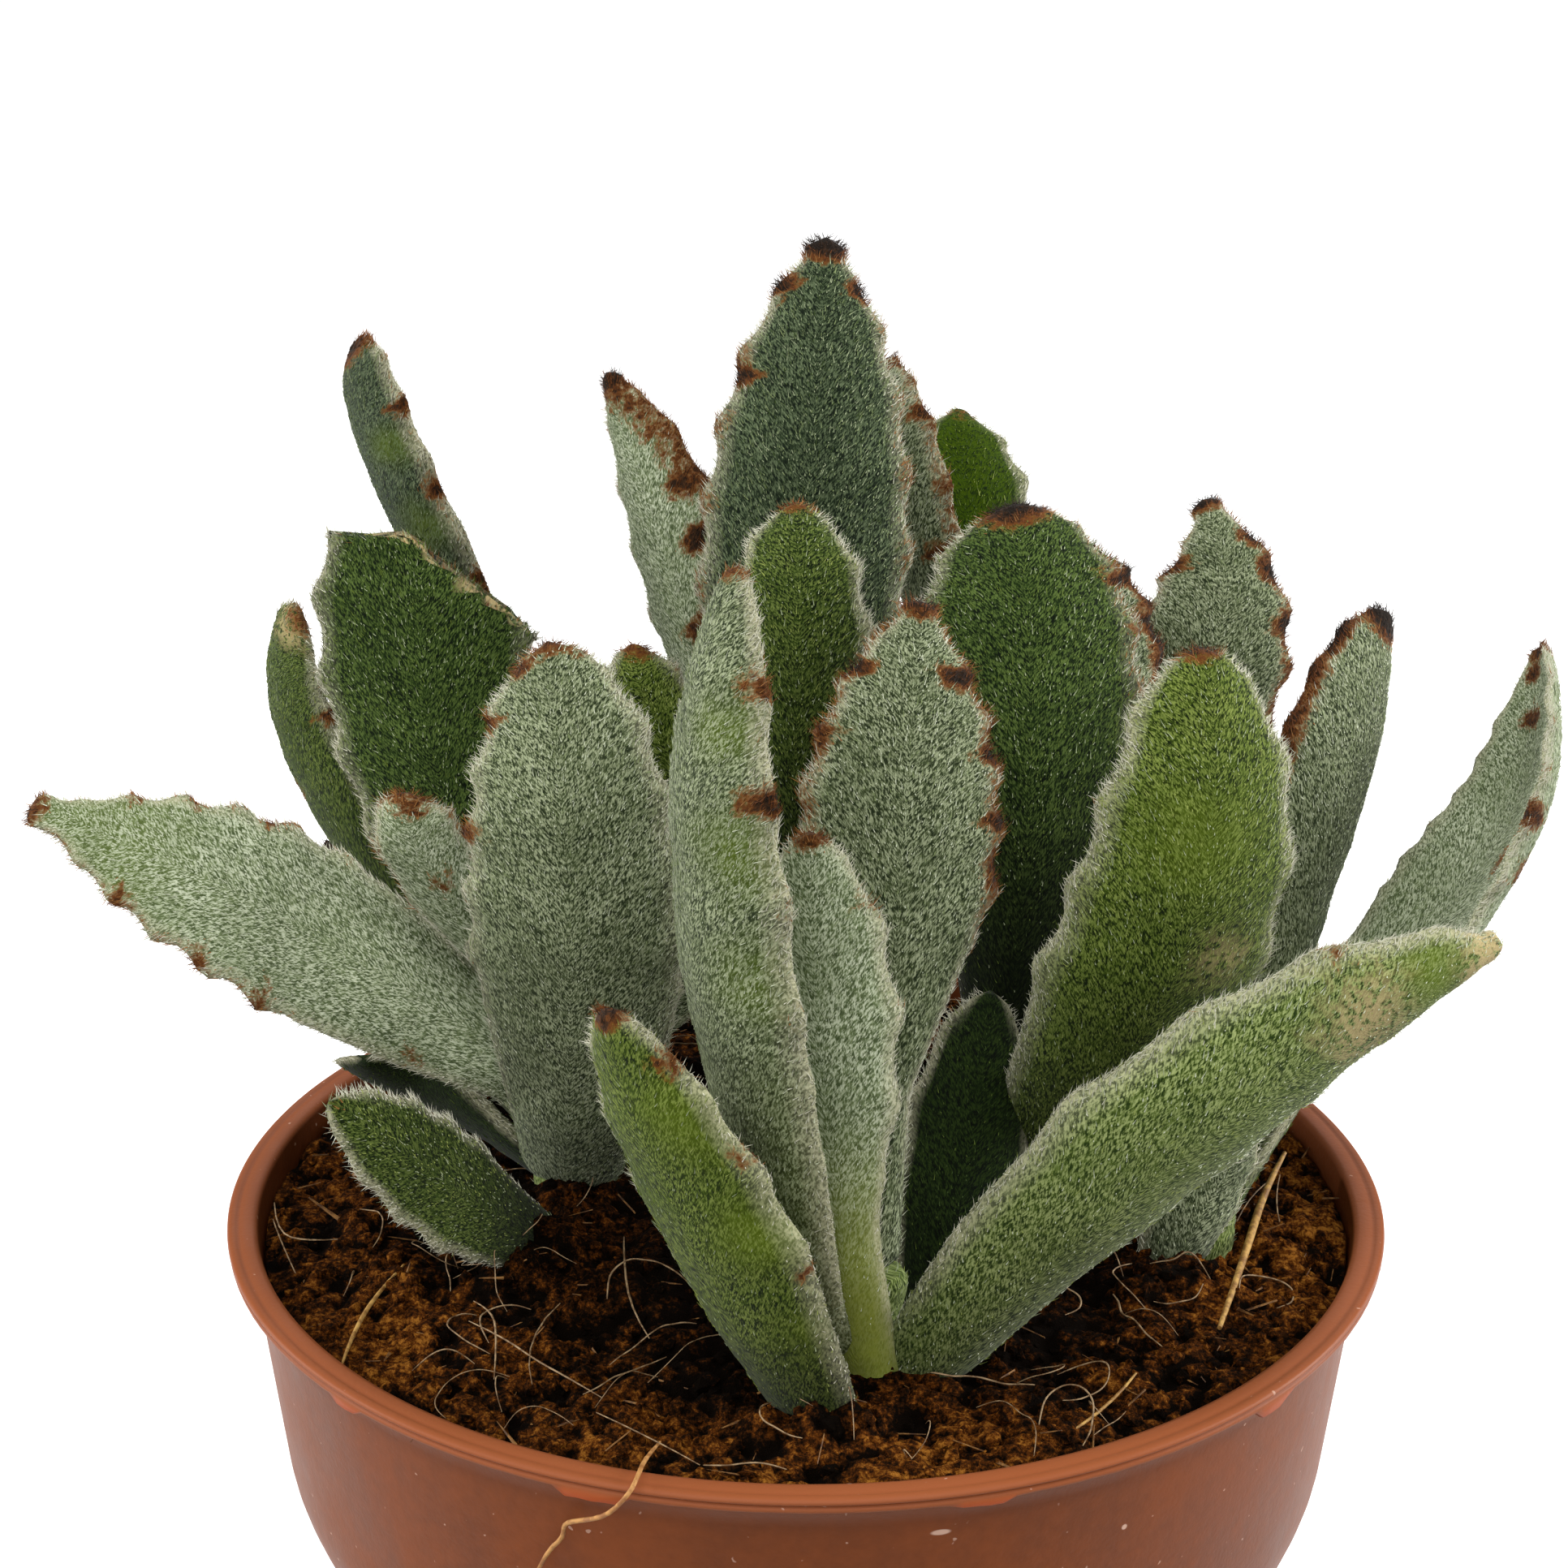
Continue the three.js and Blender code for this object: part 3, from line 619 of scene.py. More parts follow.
class Growth(Graph):
    """A node group that grows small things on the faces of a surface."""

    def __init__(self, name: str, inputs: dict[str, Sequence[str]]) -> None:
        """Starts the group.

        Args:
            name: the group's name.
            inputs: the names of its inputs beside the surface, by the type of their sockets.
        """
        super().__init__(bpy.data.node_groups.new(name, "GeometryNodeTree"))
        face = self.tree.interface
        face.new_socket("Geometry", in_out="OUTPUT", socket_type="NodeSocketGeometry")
        for kind, names in {"Geometry": ("Geometry",), **inputs}.items():
            for socket in names:
                face.new_socket(socket, in_out="INPUT", socket_type=f"NodeSocket{kind}")
        self.sockets = {s.name: s.identifier for s in face.items_tree if s.in_out == "INPUT"}
        self.start = self.add("NodeGroupInput")

    def given(self, name: str) -> Signal:
        """What one of the group's inputs is given."""
        return self.signal(self.start, name)

    def named(self, name: str, kind: str = "FLOAT") -> Signal:
        """The value of an attribute that the surface, or a thing on it, carries."""
        return self.out("GeometryNodeInputNamedAttribute", {"Name": name}, data_type=kind)

    def chance(self, low: Any, high: Any, seed: Any) -> Signal:
        """A random value for each place, a vector where its ends are vectors."""
        kind = "FLOAT_VECTOR" if isinstance(low, tuple) else "FLOAT"
        ends = {"Min": low, "Max": high, "Seed": seed}
        return self.out("FunctionNodeRandomValue", ends, data_type=kind)

    def spots(self, density: Signal, seed: Any) -> bpy.types.Node:
        """Random places on the surface, so many on each square metre."""
        inputs = {"Mesh": self.given("Geometry"), "Density": density, "Seed": seed}
        return self.add("GeometryNodeDistributePointsOnFaces", inputs)

    def cone(self, sides: int, top: float, bottom: float, length: float) -> Signal:
        """A cone or a blunt spike that stands on the origin."""
        sizes = {"Vertices": sides, "Radius Top": top, "Radius Bottom": bottom, "Depth": length}
        return self.out("GeometryNodeMeshCone", sizes, fill_type="NGON")

    def moved(self, geometry: Signal, by: Signal) -> Signal:
        """The geometry with each of its points moved."""
        return self.out("GeometryNodeSetPosition", {"Geometry": geometry, "Offset": by})

    def planted(self, points: Signal, thing: Signal, turn: Signal, size: Signal) -> Signal:
        """A copy of a thing on each point, all as one mesh."""
        inputs = {"Points": points, "Instance": thing, "Rotation": turn, "Scale": size}
        placed = self.out("GeometryNodeInstanceOnPoints", inputs)
        return self.out("GeometryNodeRealizeInstances", {"Geometry": placed})

    def grown(self, name: str, surface: bpy.types.Object,
              values: dict[str, Any]) -> bpy.types.Object:
        """Grows the things.

        Args:
            name: the new piece's name.
            surface: what they grow on, which stays as it is.
            values: what the group's inputs are given.

        Returns:
            The things alone, as a mesh without materials of the surface.
        """
        piece = put(name, surface.data.copy())
        piece.data.materials.clear()
        modifier = piece.modifiers.new(name, "NODES")
        modifier.node_group = self.tree
        for key, value in values.items():
            modifier[self.sockets[key]] = value
        return settle(piece)


class Fur(Growth):
    """Grows separate hairs on a piece, in a way that all the fur shares.

    Its sizes are in millimetres. A lift of 0 lays the hairs flat along the comb, and of 1 stands
    them straight up. A hair strays from its neighbours' direction by chance.
    """

    TONES = ("First", "Second", "Third", "Fringe", "Tan", "Rust", "Dark")
    HAIR_SIDES = 3
    THICK = 0.1
    THICK_SHARES = (0.7, 1.2)
    LENGTH_SHARES = (0.6, 1.3)
    LIFT = 0.32
    STRAY = 0.28
    SINK = 0.06
    TONE_SHIFT = 0.2
    TAN_FROM, RUST_FROM, DARK_FROM = 0.27, 0.44, 0.74

    def __init__(self) -> None:
        """Builds the node group."""
        super().__init__("fur", {
            "Int": ("Seed",),
            "Float": ("Density", "First share", "Second share"),
            "Material": self.TONES,
        })
        self.add("NodeGroupOutput", {"Geometry": self.colour(self.grow())})

    def draw(self, low: Any, high: Any, step: int) -> Signal:
        """A random value for each hair, with a draw of its own for each step."""
        return self.chance(low, high, self.given("Seed") + float(step))

    def keep(self, geometry: Signal, name: str, value: Signal) -> Signal:
        """The geometry with a number kept on each of its points."""
        inputs = {"Geometry": geometry, "Name": name, "Value": value}
        return self.out("GeometryNodeStoreNamedAttribute", inputs, data_type="FLOAT",
                        domain="POINT")

    def grow(self) -> Signal:
        """Sets a hair on each of many random points, combed, lifted and a little astray."""
        roots = self.spots(self.given("Density") * self.named("wool"), self.given("Seed"))
        normal = self.signal(roots, "Normal")
        lying = self.named("comb", "FLOAT_VECTOR").scaled(1 - self.LIFT)
        raised = self.vector("ADD", lying, normal.scaled(self.LIFT))
        stray = self.draw((-1, -1, -1), (1, 1, 1), 1).scaled(self.STRAY)
        way = self.vector("NORMALIZE", self.vector("ADD", raised, stray))
        turn = self.out("FunctionNodeAlignRotationToVector", {"Vector": way}, axis="Z")
        thick = self.draw(*self.THICK_SHARES, 2) * (self.THICK * MM)
        length = self.named("pile") * self.draw(*self.LENGTH_SHARES, 3)
        size = self.out("ShaderNodeCombineXYZ", {"X": thick, "Y": thick, "Z": length})
        shift = self.draw(-self.TONE_SHIFT, self.TONE_SHIFT, 4)
        points = self.keep(self.signal(roots, "Points"), "tone", self.named("rust") + shift)
        points = self.keep(points, "pick", self.draw(0.0, 1.0, 5))
        points = self.keep(points, "hoar", self.named("edge") - self.draw(0.0, 1.0, 6))
        points = self.moved(points, normal.scaled(-self.SINK * MM))
        return self.planted(points, self.cone(self.HAIR_SIDES, 0.0, 0.5, 1.0), turn, size)

    def colour(self, hairs: Signal) -> Signal:
        """Gives each hair its tone: a chance green, cream at the margin, brown at the teeth."""
        pick, tone, first = self.named("pick"), self.named("tone"), self.given("First share")
        tests = (("First", pick, -1.0), ("Second", pick, first),
                 ("Third", pick, first + self.given("Second share")),
                 ("Fringe", self.named("hoar"), 0.0), ("Tan", tone, self.TAN_FROM),
                 ("Rust", tone, self.RUST_FROM), ("Dark", tone, self.DARK_FROM))
        for name, value, floor in tests:
            chosen = self.out("FunctionNodeCompare", {"A": value, "B": floor},
                              operation="GREATER_THAN", data_type="FLOAT")
            inputs = {"Geometry": hairs, "Selection": chosen, "Material": self.given(name)}
            hairs = self.out("GeometryNodeSetMaterial", inputs)
        return hairs

    def coat(self, name: str, surface: bpy.types.Object, felt: Felt, per_mm2: float,
             seed: int) -> bpy.types.Object:
        """Grows a coat of hairs on a surface.

        Args:
            name: the coat's name.
            surface: the piece that carries it, with the attributes comb, wool, pile, edge and rust.
            felt: the tones of the hairs.
            per_mm2: hairs on each square millimetre where the wool is full.
            seed: the draw of the random places.

        Returns:
            The coat as a mesh of its own.
        """
        tones = zip(self.TONES, (*felt.hairs, CREAM, TAN, RUST, DARK))
        values = {"Seed": seed, "Density": per_mm2 / MM**2, "First share": felt.shares[0],
                  "Second share": felt.shares[1], **{key: tone.material() for key, tone in tones}}
        coat = self.grown(name, surface, values)
        for spare in ("comb", "wool", "pile", "rust", "edge", "tone", "pick", "hoar"):
            layer = coat.data.attributes.get(spare)
            if layer:
                coat.data.attributes.remove(layer)
        return coat


# ---------------------------------------------------------------- stems


def blade_layers(form: bmesh.types.BMesh) -> dict[str, Any]:
    """The attributes that the skin's pattern and the fur read, added to a form.

    Args:
        form: the bmesh, before its points are moved.

    Returns:
        Each attribute's layer by its name: three vectors, then the numbers.
    """
    layers = {name: form.verts.layers.float_vector.new(name) for name in ("rest", "strand", "comb")}
    numbers = ("rise", "glow", "dim", "bare", "scar", "rust", "edge", "wool", "pile")
    return {**layers, **dict(zip(numbers, number_layers(form, *numbers)))}


@dataclass(frozen=True)
class Stem:
    """A fleshy stem that stands in the soil, mostly hidden among its leaves.

    Attributes:
        name: the stem's name.
        at: where it stands.
        lean: how far its top is from straight above its foot.
        top: how high it ends.
        radius: its radius.
    """

    name: str
    at: Pair
    lean: Pair
    top: float
    radius: float

    FOOT = 35.0
    SIDES = 16
    ROWS = 28
    SLIMMER = 0.4
    KNOT = 0.35
    KNOTS_PER_MM = 0.8
    HAIRS = 1.2
    HAIR_LENGTH = 0.7
    PATTERN_STEP = 7.0
    FIRST_SEED = 900

    def middle(self, height: float) -> Vector:
        """The stem's middle at a height."""
        rise = max(0.0, (height - SOIL_TOP) / (self.top - SOIL_TOP))
        return Vector((self.at[0] + self.lean[0] * rise, self.at[1] + self.lean[1] * rise, height))

    def build(self, fur: Fur, seed: int) -> None:
        """Makes the stem with the scars of old leaves, and its short fur."""
        form = bmesh.new()
        bmesh.ops.create_uvsphere(form, u_segments=self.SIDES, v_segments=self.ROWS, radius=1)
        layers = blade_layers(form)
        for vert in form.verts:
            share = latitude(vert)
            height = self.FOOT + (self.top - self.FOOT) * share
            top_end = round_end(share, 0.93, 1.0)
            turn = math.atan2(vert.co.y, vert.co.x)
            knots = self.KNOT * math.sin(height * self.KNOTS_PER_MM + 1.5 * math.sin(turn + seed))
            radius = (self.radius - self.SLIMMER + knots) * top_end * round_end(share, 0.06, 0.0)
            vert.co = self.middle(height) + Vector((math.cos(turn), math.sin(turn), 0)) * radius
            vert[layers["comb"]] = Vector((0, 0, 1))
            for pattern in ("rest", "strand"):
                vert[layers[pattern]] = (turn * self.radius, height, self.PATTERN_STEP * seed)
            vert[layers["wool"]] = smooth(height, SOIL_TOP - 1, SOIL_TOP + 1) * top_end
            vert[layers["pile"]] = self.HAIR_LENGTH * MM
        bmesh.ops.recalc_face_normals(form, faces=form.faces)
        felt = Coat.MISTY.value
        piece = make_piece(f"stem_flesh_{self.name}", form, felt.material())
        finish_piece(piece, "stem", f"stem_{self.name}")
        coat = fur.coat(f"stem_fur_{self.name}", piece, felt, self.HAIRS, self.FIRST_SEED + seed)
        finish_piece(coat, "stem")


STEMS = (
    Stem("front", (6, -33), (0, 1), 59, 3.4),
    Stem("left", (-25, 0), (-2, 0), 74, 3.8),
    Stem("right", (19, -10), (1, 1), 74, 3.8),
    Stem("middle", (-2, 9), (0, 2), 84, 4.0),
    Stem("back_left", (-20, 28), (-2, 2), 82, 3.8),
    Stem("back_right", (24, 27), (2, 2), 84, 3.8),
    Stem("far_right", (40, -12), (4, 5), 66, 3.4),
)


# ---------------------------------------------------------------- leaves


class Wear(Enum):
    """What a mark on a leaf is."""

    BARE = "bare"
    SCAR = "scar"
    BROWN = "brown"


@dataclass(frozen=True)
class Mark:
    """A place on a leaf that looks different.

    Attributes:
        kind: rubbed bare, scarred, or a tuft of brown hairs.
        along: its share of the leaf's length.
        across: from -1 at one margin to 1 at the other.
        radius: how large it is.
        strength: how plain it is, or how dark where it is brown.
    """

    kind: Wear
    along: float
    across: float
    radius: float
    strength: float = 1.0


bare = partial(Mark, Wear.BARE)
scar = partial(Mark, Wear.SCAR)
tuft = partial(Mark, Wear.BROWN)


@dataclass(frozen=True)
class Rust:
    """How brown a leaf's edge is, from 0 to 1.

    Attributes:
        tip: the brown of the tip.
        teeth: the brown of the teeth, on the margin at 1 and on the one at -1.
        margin: the brown between the teeth, on the same margins.
        reach: how far the tip's brown reaches.
    """

    tip: float
    teeth: Pair
    margin: Pair = (0.0, 0.0)
    reach: float = 3.0


@dataclass(frozen=True)
class Outline:
    """The sizes of a leaf.

    Attributes:
        width: its greatest width.
        thick: its thickness in the middle.
        foot: its width where it starts.
        cup: how much its margins curl up, as a share of its half width.
        widest: where along it is widest, as a share of its length.
        point: how its tip closes, from blunt (0.5) to pointed (1 and more).
        teeth: how many teeth each margin has.
        stalk: the share of its length that is a plain stalk.
    """

    width: float
    thick: float
    foot: float
    cup: float
    widest: float
    point: float
    teeth: int
    stalk: float = 0.0


@dataclass(frozen=True)
class Break:
    """A torn edge: all above a slope through a point is gone.

    Attributes:
        at: the point.
        tilt: how many degrees the slope falls towards +X.
    """

    at: Triple
    tilt: float

    def tear(self, form: bmesh.types.BMesh, layers: dict[str, Any]) -> None:
        """Cuts a closed blade, closes it again, and makes the new rim ragged, pale and brown."""
        tilt = math.radians(self.tilt)
        cut = bmesh.ops.bisect_plane(form, geom=form.verts[:] + form.edges[:] + form.faces[:],
                                     plane_co=self.at, plane_no=(math.sin(tilt), 0, math.cos(tilt)),
                                     clear_outer=True)["geom_cut"]
        rim = [item for item in cut if isinstance(item, bmesh.types.BMEdge)]
        bmesh.ops.edgeloop_fill(form, edges=rim)
        split = bmesh.ops.subdivide_edges(form, edges=rim, cuts=2)["geom_split"]
        edges = [item for item in split if isinstance(item, bmesh.types.BMEdge)]
        for vert in {vert for edge in edges for vert in edge.verts}:
            notch = abs(noise.noise(Vector((vert.co.x * 0.36, 0.5, 0.2))))
            nick = abs(noise.noise(Vector((vert.co.x * 1.1, 7.5, 0.3))))
            vert.co.z -= 3.4 * notch + 1.5 * nick
            vert[layers["scar"]] = 1.0
            vert[layers["rust"]] = 0.7 * nick


@dataclass(frozen=True)
class Leaf:
    """A leaf: a fleshy toothed blade under a coat of hairs.

    Attributes:
        name: the leaf's name.
        foot: the point where it starts, or a stem's name and a height.
        middle: the point that its midrib passes half-way.
        tip: the point of its tip.
        face: the azimuth and elevation that its upper face looks in, in degrees.
        outline: its sizes.
        coat: its coat of fur.
        rust: how brown its edge is.
        nap: hairs on each square millimetre where its coat is full.
        glow: how yellow its foot is.
        dim: how dark its lower part is painted, as painted shade where the rosette closes over it.
        marks: its worn places.
        breaks: its torn edges.
    """

    name: str
    foot: tuple
    middle: Triple
    tip: Triple
    face: Pair
    outline: Outline
    coat: Coat
    rust: Rust
    nap: float = 3.5
    glow: float = 0.0
    dim: float = 0.0
    marks: tuple = ()
    breaks: tuple = ()

    SIDES = 20
    ROWS_PER_MM = 0.95
    HIDDEN_ROWS = 0.6
    ROWS = (24, 84)
    SHOWN_NAP = 2.2
    LOWER_BULGE, UPPER_BULGE = 1.1, 0.75
    SWAYS = ((0.09, 0.5), (0.35, 0.22))
    TOOTH_DEPTH = 1.1
    TOOTH_FULL_REACH = 6.0
    TOOTHED = (0.42, 0.9)
    TOOTH_MARGIN = 0.35
    FOOT_CURVE = 1.2
    TIP_SHARE = 0.2
    TIP_THINNING = 0.55
    HAIR_LENGTH = 0.85
    FRINGE_WIDTH = 0.85
    STRAND_TURN = 0.6
    PATTERN_STEP = 13.0
    FIRST_SEED = 100

    @property
    def shift(self) -> int:
        """A number that sets this leaf's patterns apart from the others'."""
        return sum(map(ord, self.name)) % 97

    def root(self) -> Vector:
        """The point where the midrib starts."""
        if isinstance(self.foot[0], str):
            stem = next(s for s in STEMS if s.name == self.foot[0])
            return stem.middle(self.foot[1])
        return Vector(self.foot)

    def pull(self) -> Vector:
        """The middle control point of the midrib's curve."""
        return 2 * Vector(self.middle) - 0.5 * self.root() - 0.5 * Vector(self.tip)

    def point(self, t: float) -> Vector:
        """The midrib's point at a share of the leaf's length."""
        return (1 - t) ** 2 * self.root() + 2 * t * (1 - t) * self.pull() + t**2 * Vector(self.tip)

    def heading(self, t: float) -> Vector:
        """The midrib's direction at a share of the leaf's length."""
        lower, upper = self.pull() - self.root(), Vector(self.tip) - self.pull()
        return ((1 - t) * lower + t * upper).normalized()

    def length(self) -> float:
        """The midrib's length."""
        half = self.point(0.5)
        return (half - self.root()).length + (Vector(self.tip) - half).length

    def half_width(self, t: float) -> float:
        """Half of the width, without teeth."""
        size = self.outline
        if t < size.widest:
            share = max(0.0, (t - size.stalk) / (size.widest - size.stalk))
            foot = size.foot / size.width
            grown = math.sin(math.pi / 2 * share) ** self.FOOT_CURVE
            return size.width / 2 * (foot + (1 - foot) * grown)
        past = (t - size.widest) / (1 - size.widest)
        return size.width / 2 * max(self.TIP_SHARE, (1 - past * past) ** size.point)

    def half_thickness(self, t: float) -> float:
        """Half of the thickness."""
        full = self.outline.thick / 2 * (0.8 + 0.2 * math.sin(math.pi * t))
        return full * (1 - self.TIP_THINNING * t**4)

    def tooth_number(self, t: float, across: float) -> float:
        """Which tooth a place is nearest to, whole at its middle. The two margins take turns."""
        number = (t - self.TOOTHED[0]) / (self.TOOTHED[1] - self.TOOTHED[0]) * self.outline.teeth
        return number if across > 0 else number - 0.5

    def tooth(self, t: float, across: float) -> float:
        """How much of a tooth there is at a place on a margin, from 0 to 1."""
        number = self.tooth_number(t, across)
        first = 0.0 if across > 0 else -0.5
        last = first + self.outline.teeth
        if not first - self.TOOTH_MARGIN < number < last + self.TOOTH_MARGIN:
            return 0.0
        return (0.5 + 0.5 * math.cos(2 * math.pi * number)) ** 1.6

    def shape(self, form: bmesh.types.BMesh, layers: dict[str, Any]) -> None:
        """Moves a ball's points to the blade's surface, and marks each with its pattern and fur.

        Args:
            form: the ball, its poles on the Z axis.
            layers: its attribute layers.
        """
        turn, rise = (math.radians(angle) for angle in self.face)
        level = math.cos(rise)
        face = Vector((level * math.cos(turn), level * math.sin(turn), math.sin(rise)))
        own = Vector((self.shift, 0, 0))
        for vert in form.verts:
            share = latitude(vert)
            t = 0.4 * share + 0.3 * (1 - math.cos(math.pi * share))
            ring = math.hypot(vert.co.x, vert.co.y)
            across, through = (vert.co.x / ring, vert.co.y / ring) if ring > 1e-5 else (0.0, 1.0)
            ends = round_end(t, 0.97, 1.0) * round_end(t, 0.02, 0.0)
            along = self.heading(t)
            up = (face - along * face.dot(along)).normalized()
            side = along.cross(up)
            reach = self.half_width(t)
            tooth = self.tooth(t, across) * self.TOOTH_DEPTH
            tooth = tooth * min(1.0, reach / self.TOOTH_FULL_REACH) * abs(across) ** 6
            depth = self.half_thickness(t) * (self.UPPER_BULGE if through > 0 else self.LOWER_BULGE)
            curl = self.outline.cup * reach * across**2
            at = self.point(t)
            sway = sum(noise.noise(at * scale + own) * size for scale, size in self.SWAYS)
            place = at + side * (reach * across + tooth * math.copysign(1, across)) * ends
            place += up * ((depth * through) * ends + curl + sway * ends)
            vert.co = place
            self.mark(vert, layers, t, across, through)
            self.comb(vert, layers, along, side * across)

    def brown(self, place: Vector, t: float, across: float) -> float:
        """How brown the leaf is at a place: at its tip, its teeth and its margins."""
        margin, edge = (0 if across > 0 else 1), abs(across)
        number = round(self.tooth_number(t, across))
        spot = Vector((number * 3.7, margin * 9.1, len(self.name) * 1.3)) * 1.7
        luck = 0.35 + 0.65 * (0.5 + 0.5 * noise.noise(spot))
        tooth = smooth(self.tooth(t, across), 0.45, 0.95) * smooth(edge, 0.78, 0.97)
        tip = smooth((place - Vector(self.tip)).length, self.rust.reach, 0.35 * self.rust.reach)
        seam = smooth(edge, 0.82, 0.98) * smooth(t, 0.3, 0.5)
        seam *= 0.75 + 0.5 * noise.noise(place * 0.5)
        return max(self.rust.tip * tip, self.rust.teeth[margin] * luck * tooth,
                   self.rust.margin[margin] * seam)

    def mark(self, vert: bmesh.types.BMVert, layers: dict[str, Any], t: float, across: float,
             through: float) -> None:
        """Writes what the skin's pattern reads at a point.

        Args:
            vert: the point, in its place.
            layers: the attribute layers.
            t: its share of the leaf's length.
            across: its place from margin to margin, from -1 to 1.
            through: its place from the lower face to the upper, from -1 to 1.
        """
        own = self.PATTERN_STEP * self.shift
        reach, length = self.half_width(t), self.length()
        flat, run = across * reach, t * length
        worn = {kind: 0.0 for kind in Wear}
        for mark in self.marks:
            gap = math.hypot((mark.along - t) * length, (mark.across - across) * reach)
            gap *= 1 + 0.4 * noise.noise(vert.co * 0.9)
            share = mark.strength * smooth(gap, 1.2 * mark.radius, 0.2 * mark.radius)
            worn[mark.kind] = max(worn[mark.kind], share)
        cos, sin = math.cos(self.STRAND_TURN), math.sin(self.STRAND_TURN)
        fringe = smooth(abs(across), 1 - self.FRINGE_WIDTH / max(reach, 2), 1.0)
        values = {
            "rest": (flat + own, run, through * 3),
            "strand": (abs(flat) * cos - run * sin + own, abs(flat) * sin + run * cos, through * 3),
            # painted shade over the leaf's lower part
            "rise": t, "glow": self.glow, "dim": self.dim * smooth(t, 0.55, 0.1),
            "bare": worn[Wear.BARE], "scar": worn[Wear.SCAR],
            "rust": max(worn[Wear.BROWN], self.brown(vert.co, t, across)),
            "edge": fringe * smooth(t, 0.05, 0.2),
        }
        for name, value in values.items():
            vert[layers[name]] = value

    def comb(self, vert: bmesh.types.BMVert, layers: dict[str, Any], along: Vector,
             out: Vector) -> None:
        """Writes the way the hairs lie at a point, how many there are and how long.

        Args:
            vert: the point, with its pattern written.
            layers: the attribute layers.
            along: the midrib's direction.
            out: the direction away from the midrib, longer nearer the margin.
        """
        bald, pale, dim, rust, edge, rise = (
            vert[layers[name]] for name in ("bare", "scar", "dim", "rust", "edge", "rise"))
        # fewer pale hairs where the lower part is in painted shade
        thin = 1 - max(0.5 * bald, 0.5 * pale, 0.9 * dim)
        thin *= 1 - 0.8 * self.glow * smooth(rise, 0.5, 0.1)
        vert[layers["comb"]] = (along * 0.8 + out * 0.9).normalized()
        vert[layers["wool"]] = thin * (1 + 1.8 * rust + 2.7 * edge)
        length = self.HAIR_LENGTH * MM
        vert[layers["pile"]] = length * (0.55 + 0.45 * thin + 0.25 * rust + 0.1 * edge)

    def thin_hidden_fur(self, form: bmesh.types.BMesh, layers: dict[str, Any]) -> None:
        """Thins the coat where it is hidden: in the soil, at the foot and on inner faces."""
        form.normal_update()
        for vert in form.verts:
            away = Vector((vert.co.x, vert.co.y, 0)).normalized()
            shown = max(smooth(vert.normal.dot(away), -0.4, 0.1), smooth(vert.co.z, 80, 105))
            above = smooth(vert.co.z, SOIL_TOP - 1.5, SOIL_TOP)
            vert[layers["wool"]] *= (0.3 + 0.7 * shown) * above

    def build(self, fur: Fur, seed: int) -> None:
        """Makes the leaf's blade and its fur.

        Args:
            fur: what grows the hairs.
            seed: the draw of their places.
        """
        form = bmesh.new()
        fewer = 1 if self.nap > self.SHOWN_NAP else self.HIDDEN_ROWS
        least, most = self.ROWS
        rows = max(least, min(most, round(self.length() * self.ROWS_PER_MM * fewer)))
        bmesh.ops.create_uvsphere(form, u_segments=self.SIDES, v_segments=rows, radius=1)
        layers = blade_layers(form)
        self.shape(form, layers)
        for torn in self.breaks:
            torn.tear(form, layers)
        bmesh.ops.recalc_face_normals(form, faces=form.faces)
        self.thin_hidden_fur(form, layers)
        felt = self.coat.value
        piece = make_piece(f"blade_{self.name}", form, felt.material())
        finish_piece(piece, "leaf", f"leaf_{self.name}")
        coat = fur.coat(f"fur_{self.name}", piece, felt, self.nap, self.FIRST_SEED + seed)
        finish_piece(coat, "leaf")


KNOTTED = Rust(0.8, (0.7, 0.6), (0.1, 0.3))
TIPPED = Rust(0.85, (0.5, 0.7))
EDGED = Rust(0.6, (0.8, 0.5), (0.4, 0.2))
UNMARKED = Rust(0, (0, 0))

far_leaf = partial(Leaf, nap=1.8)

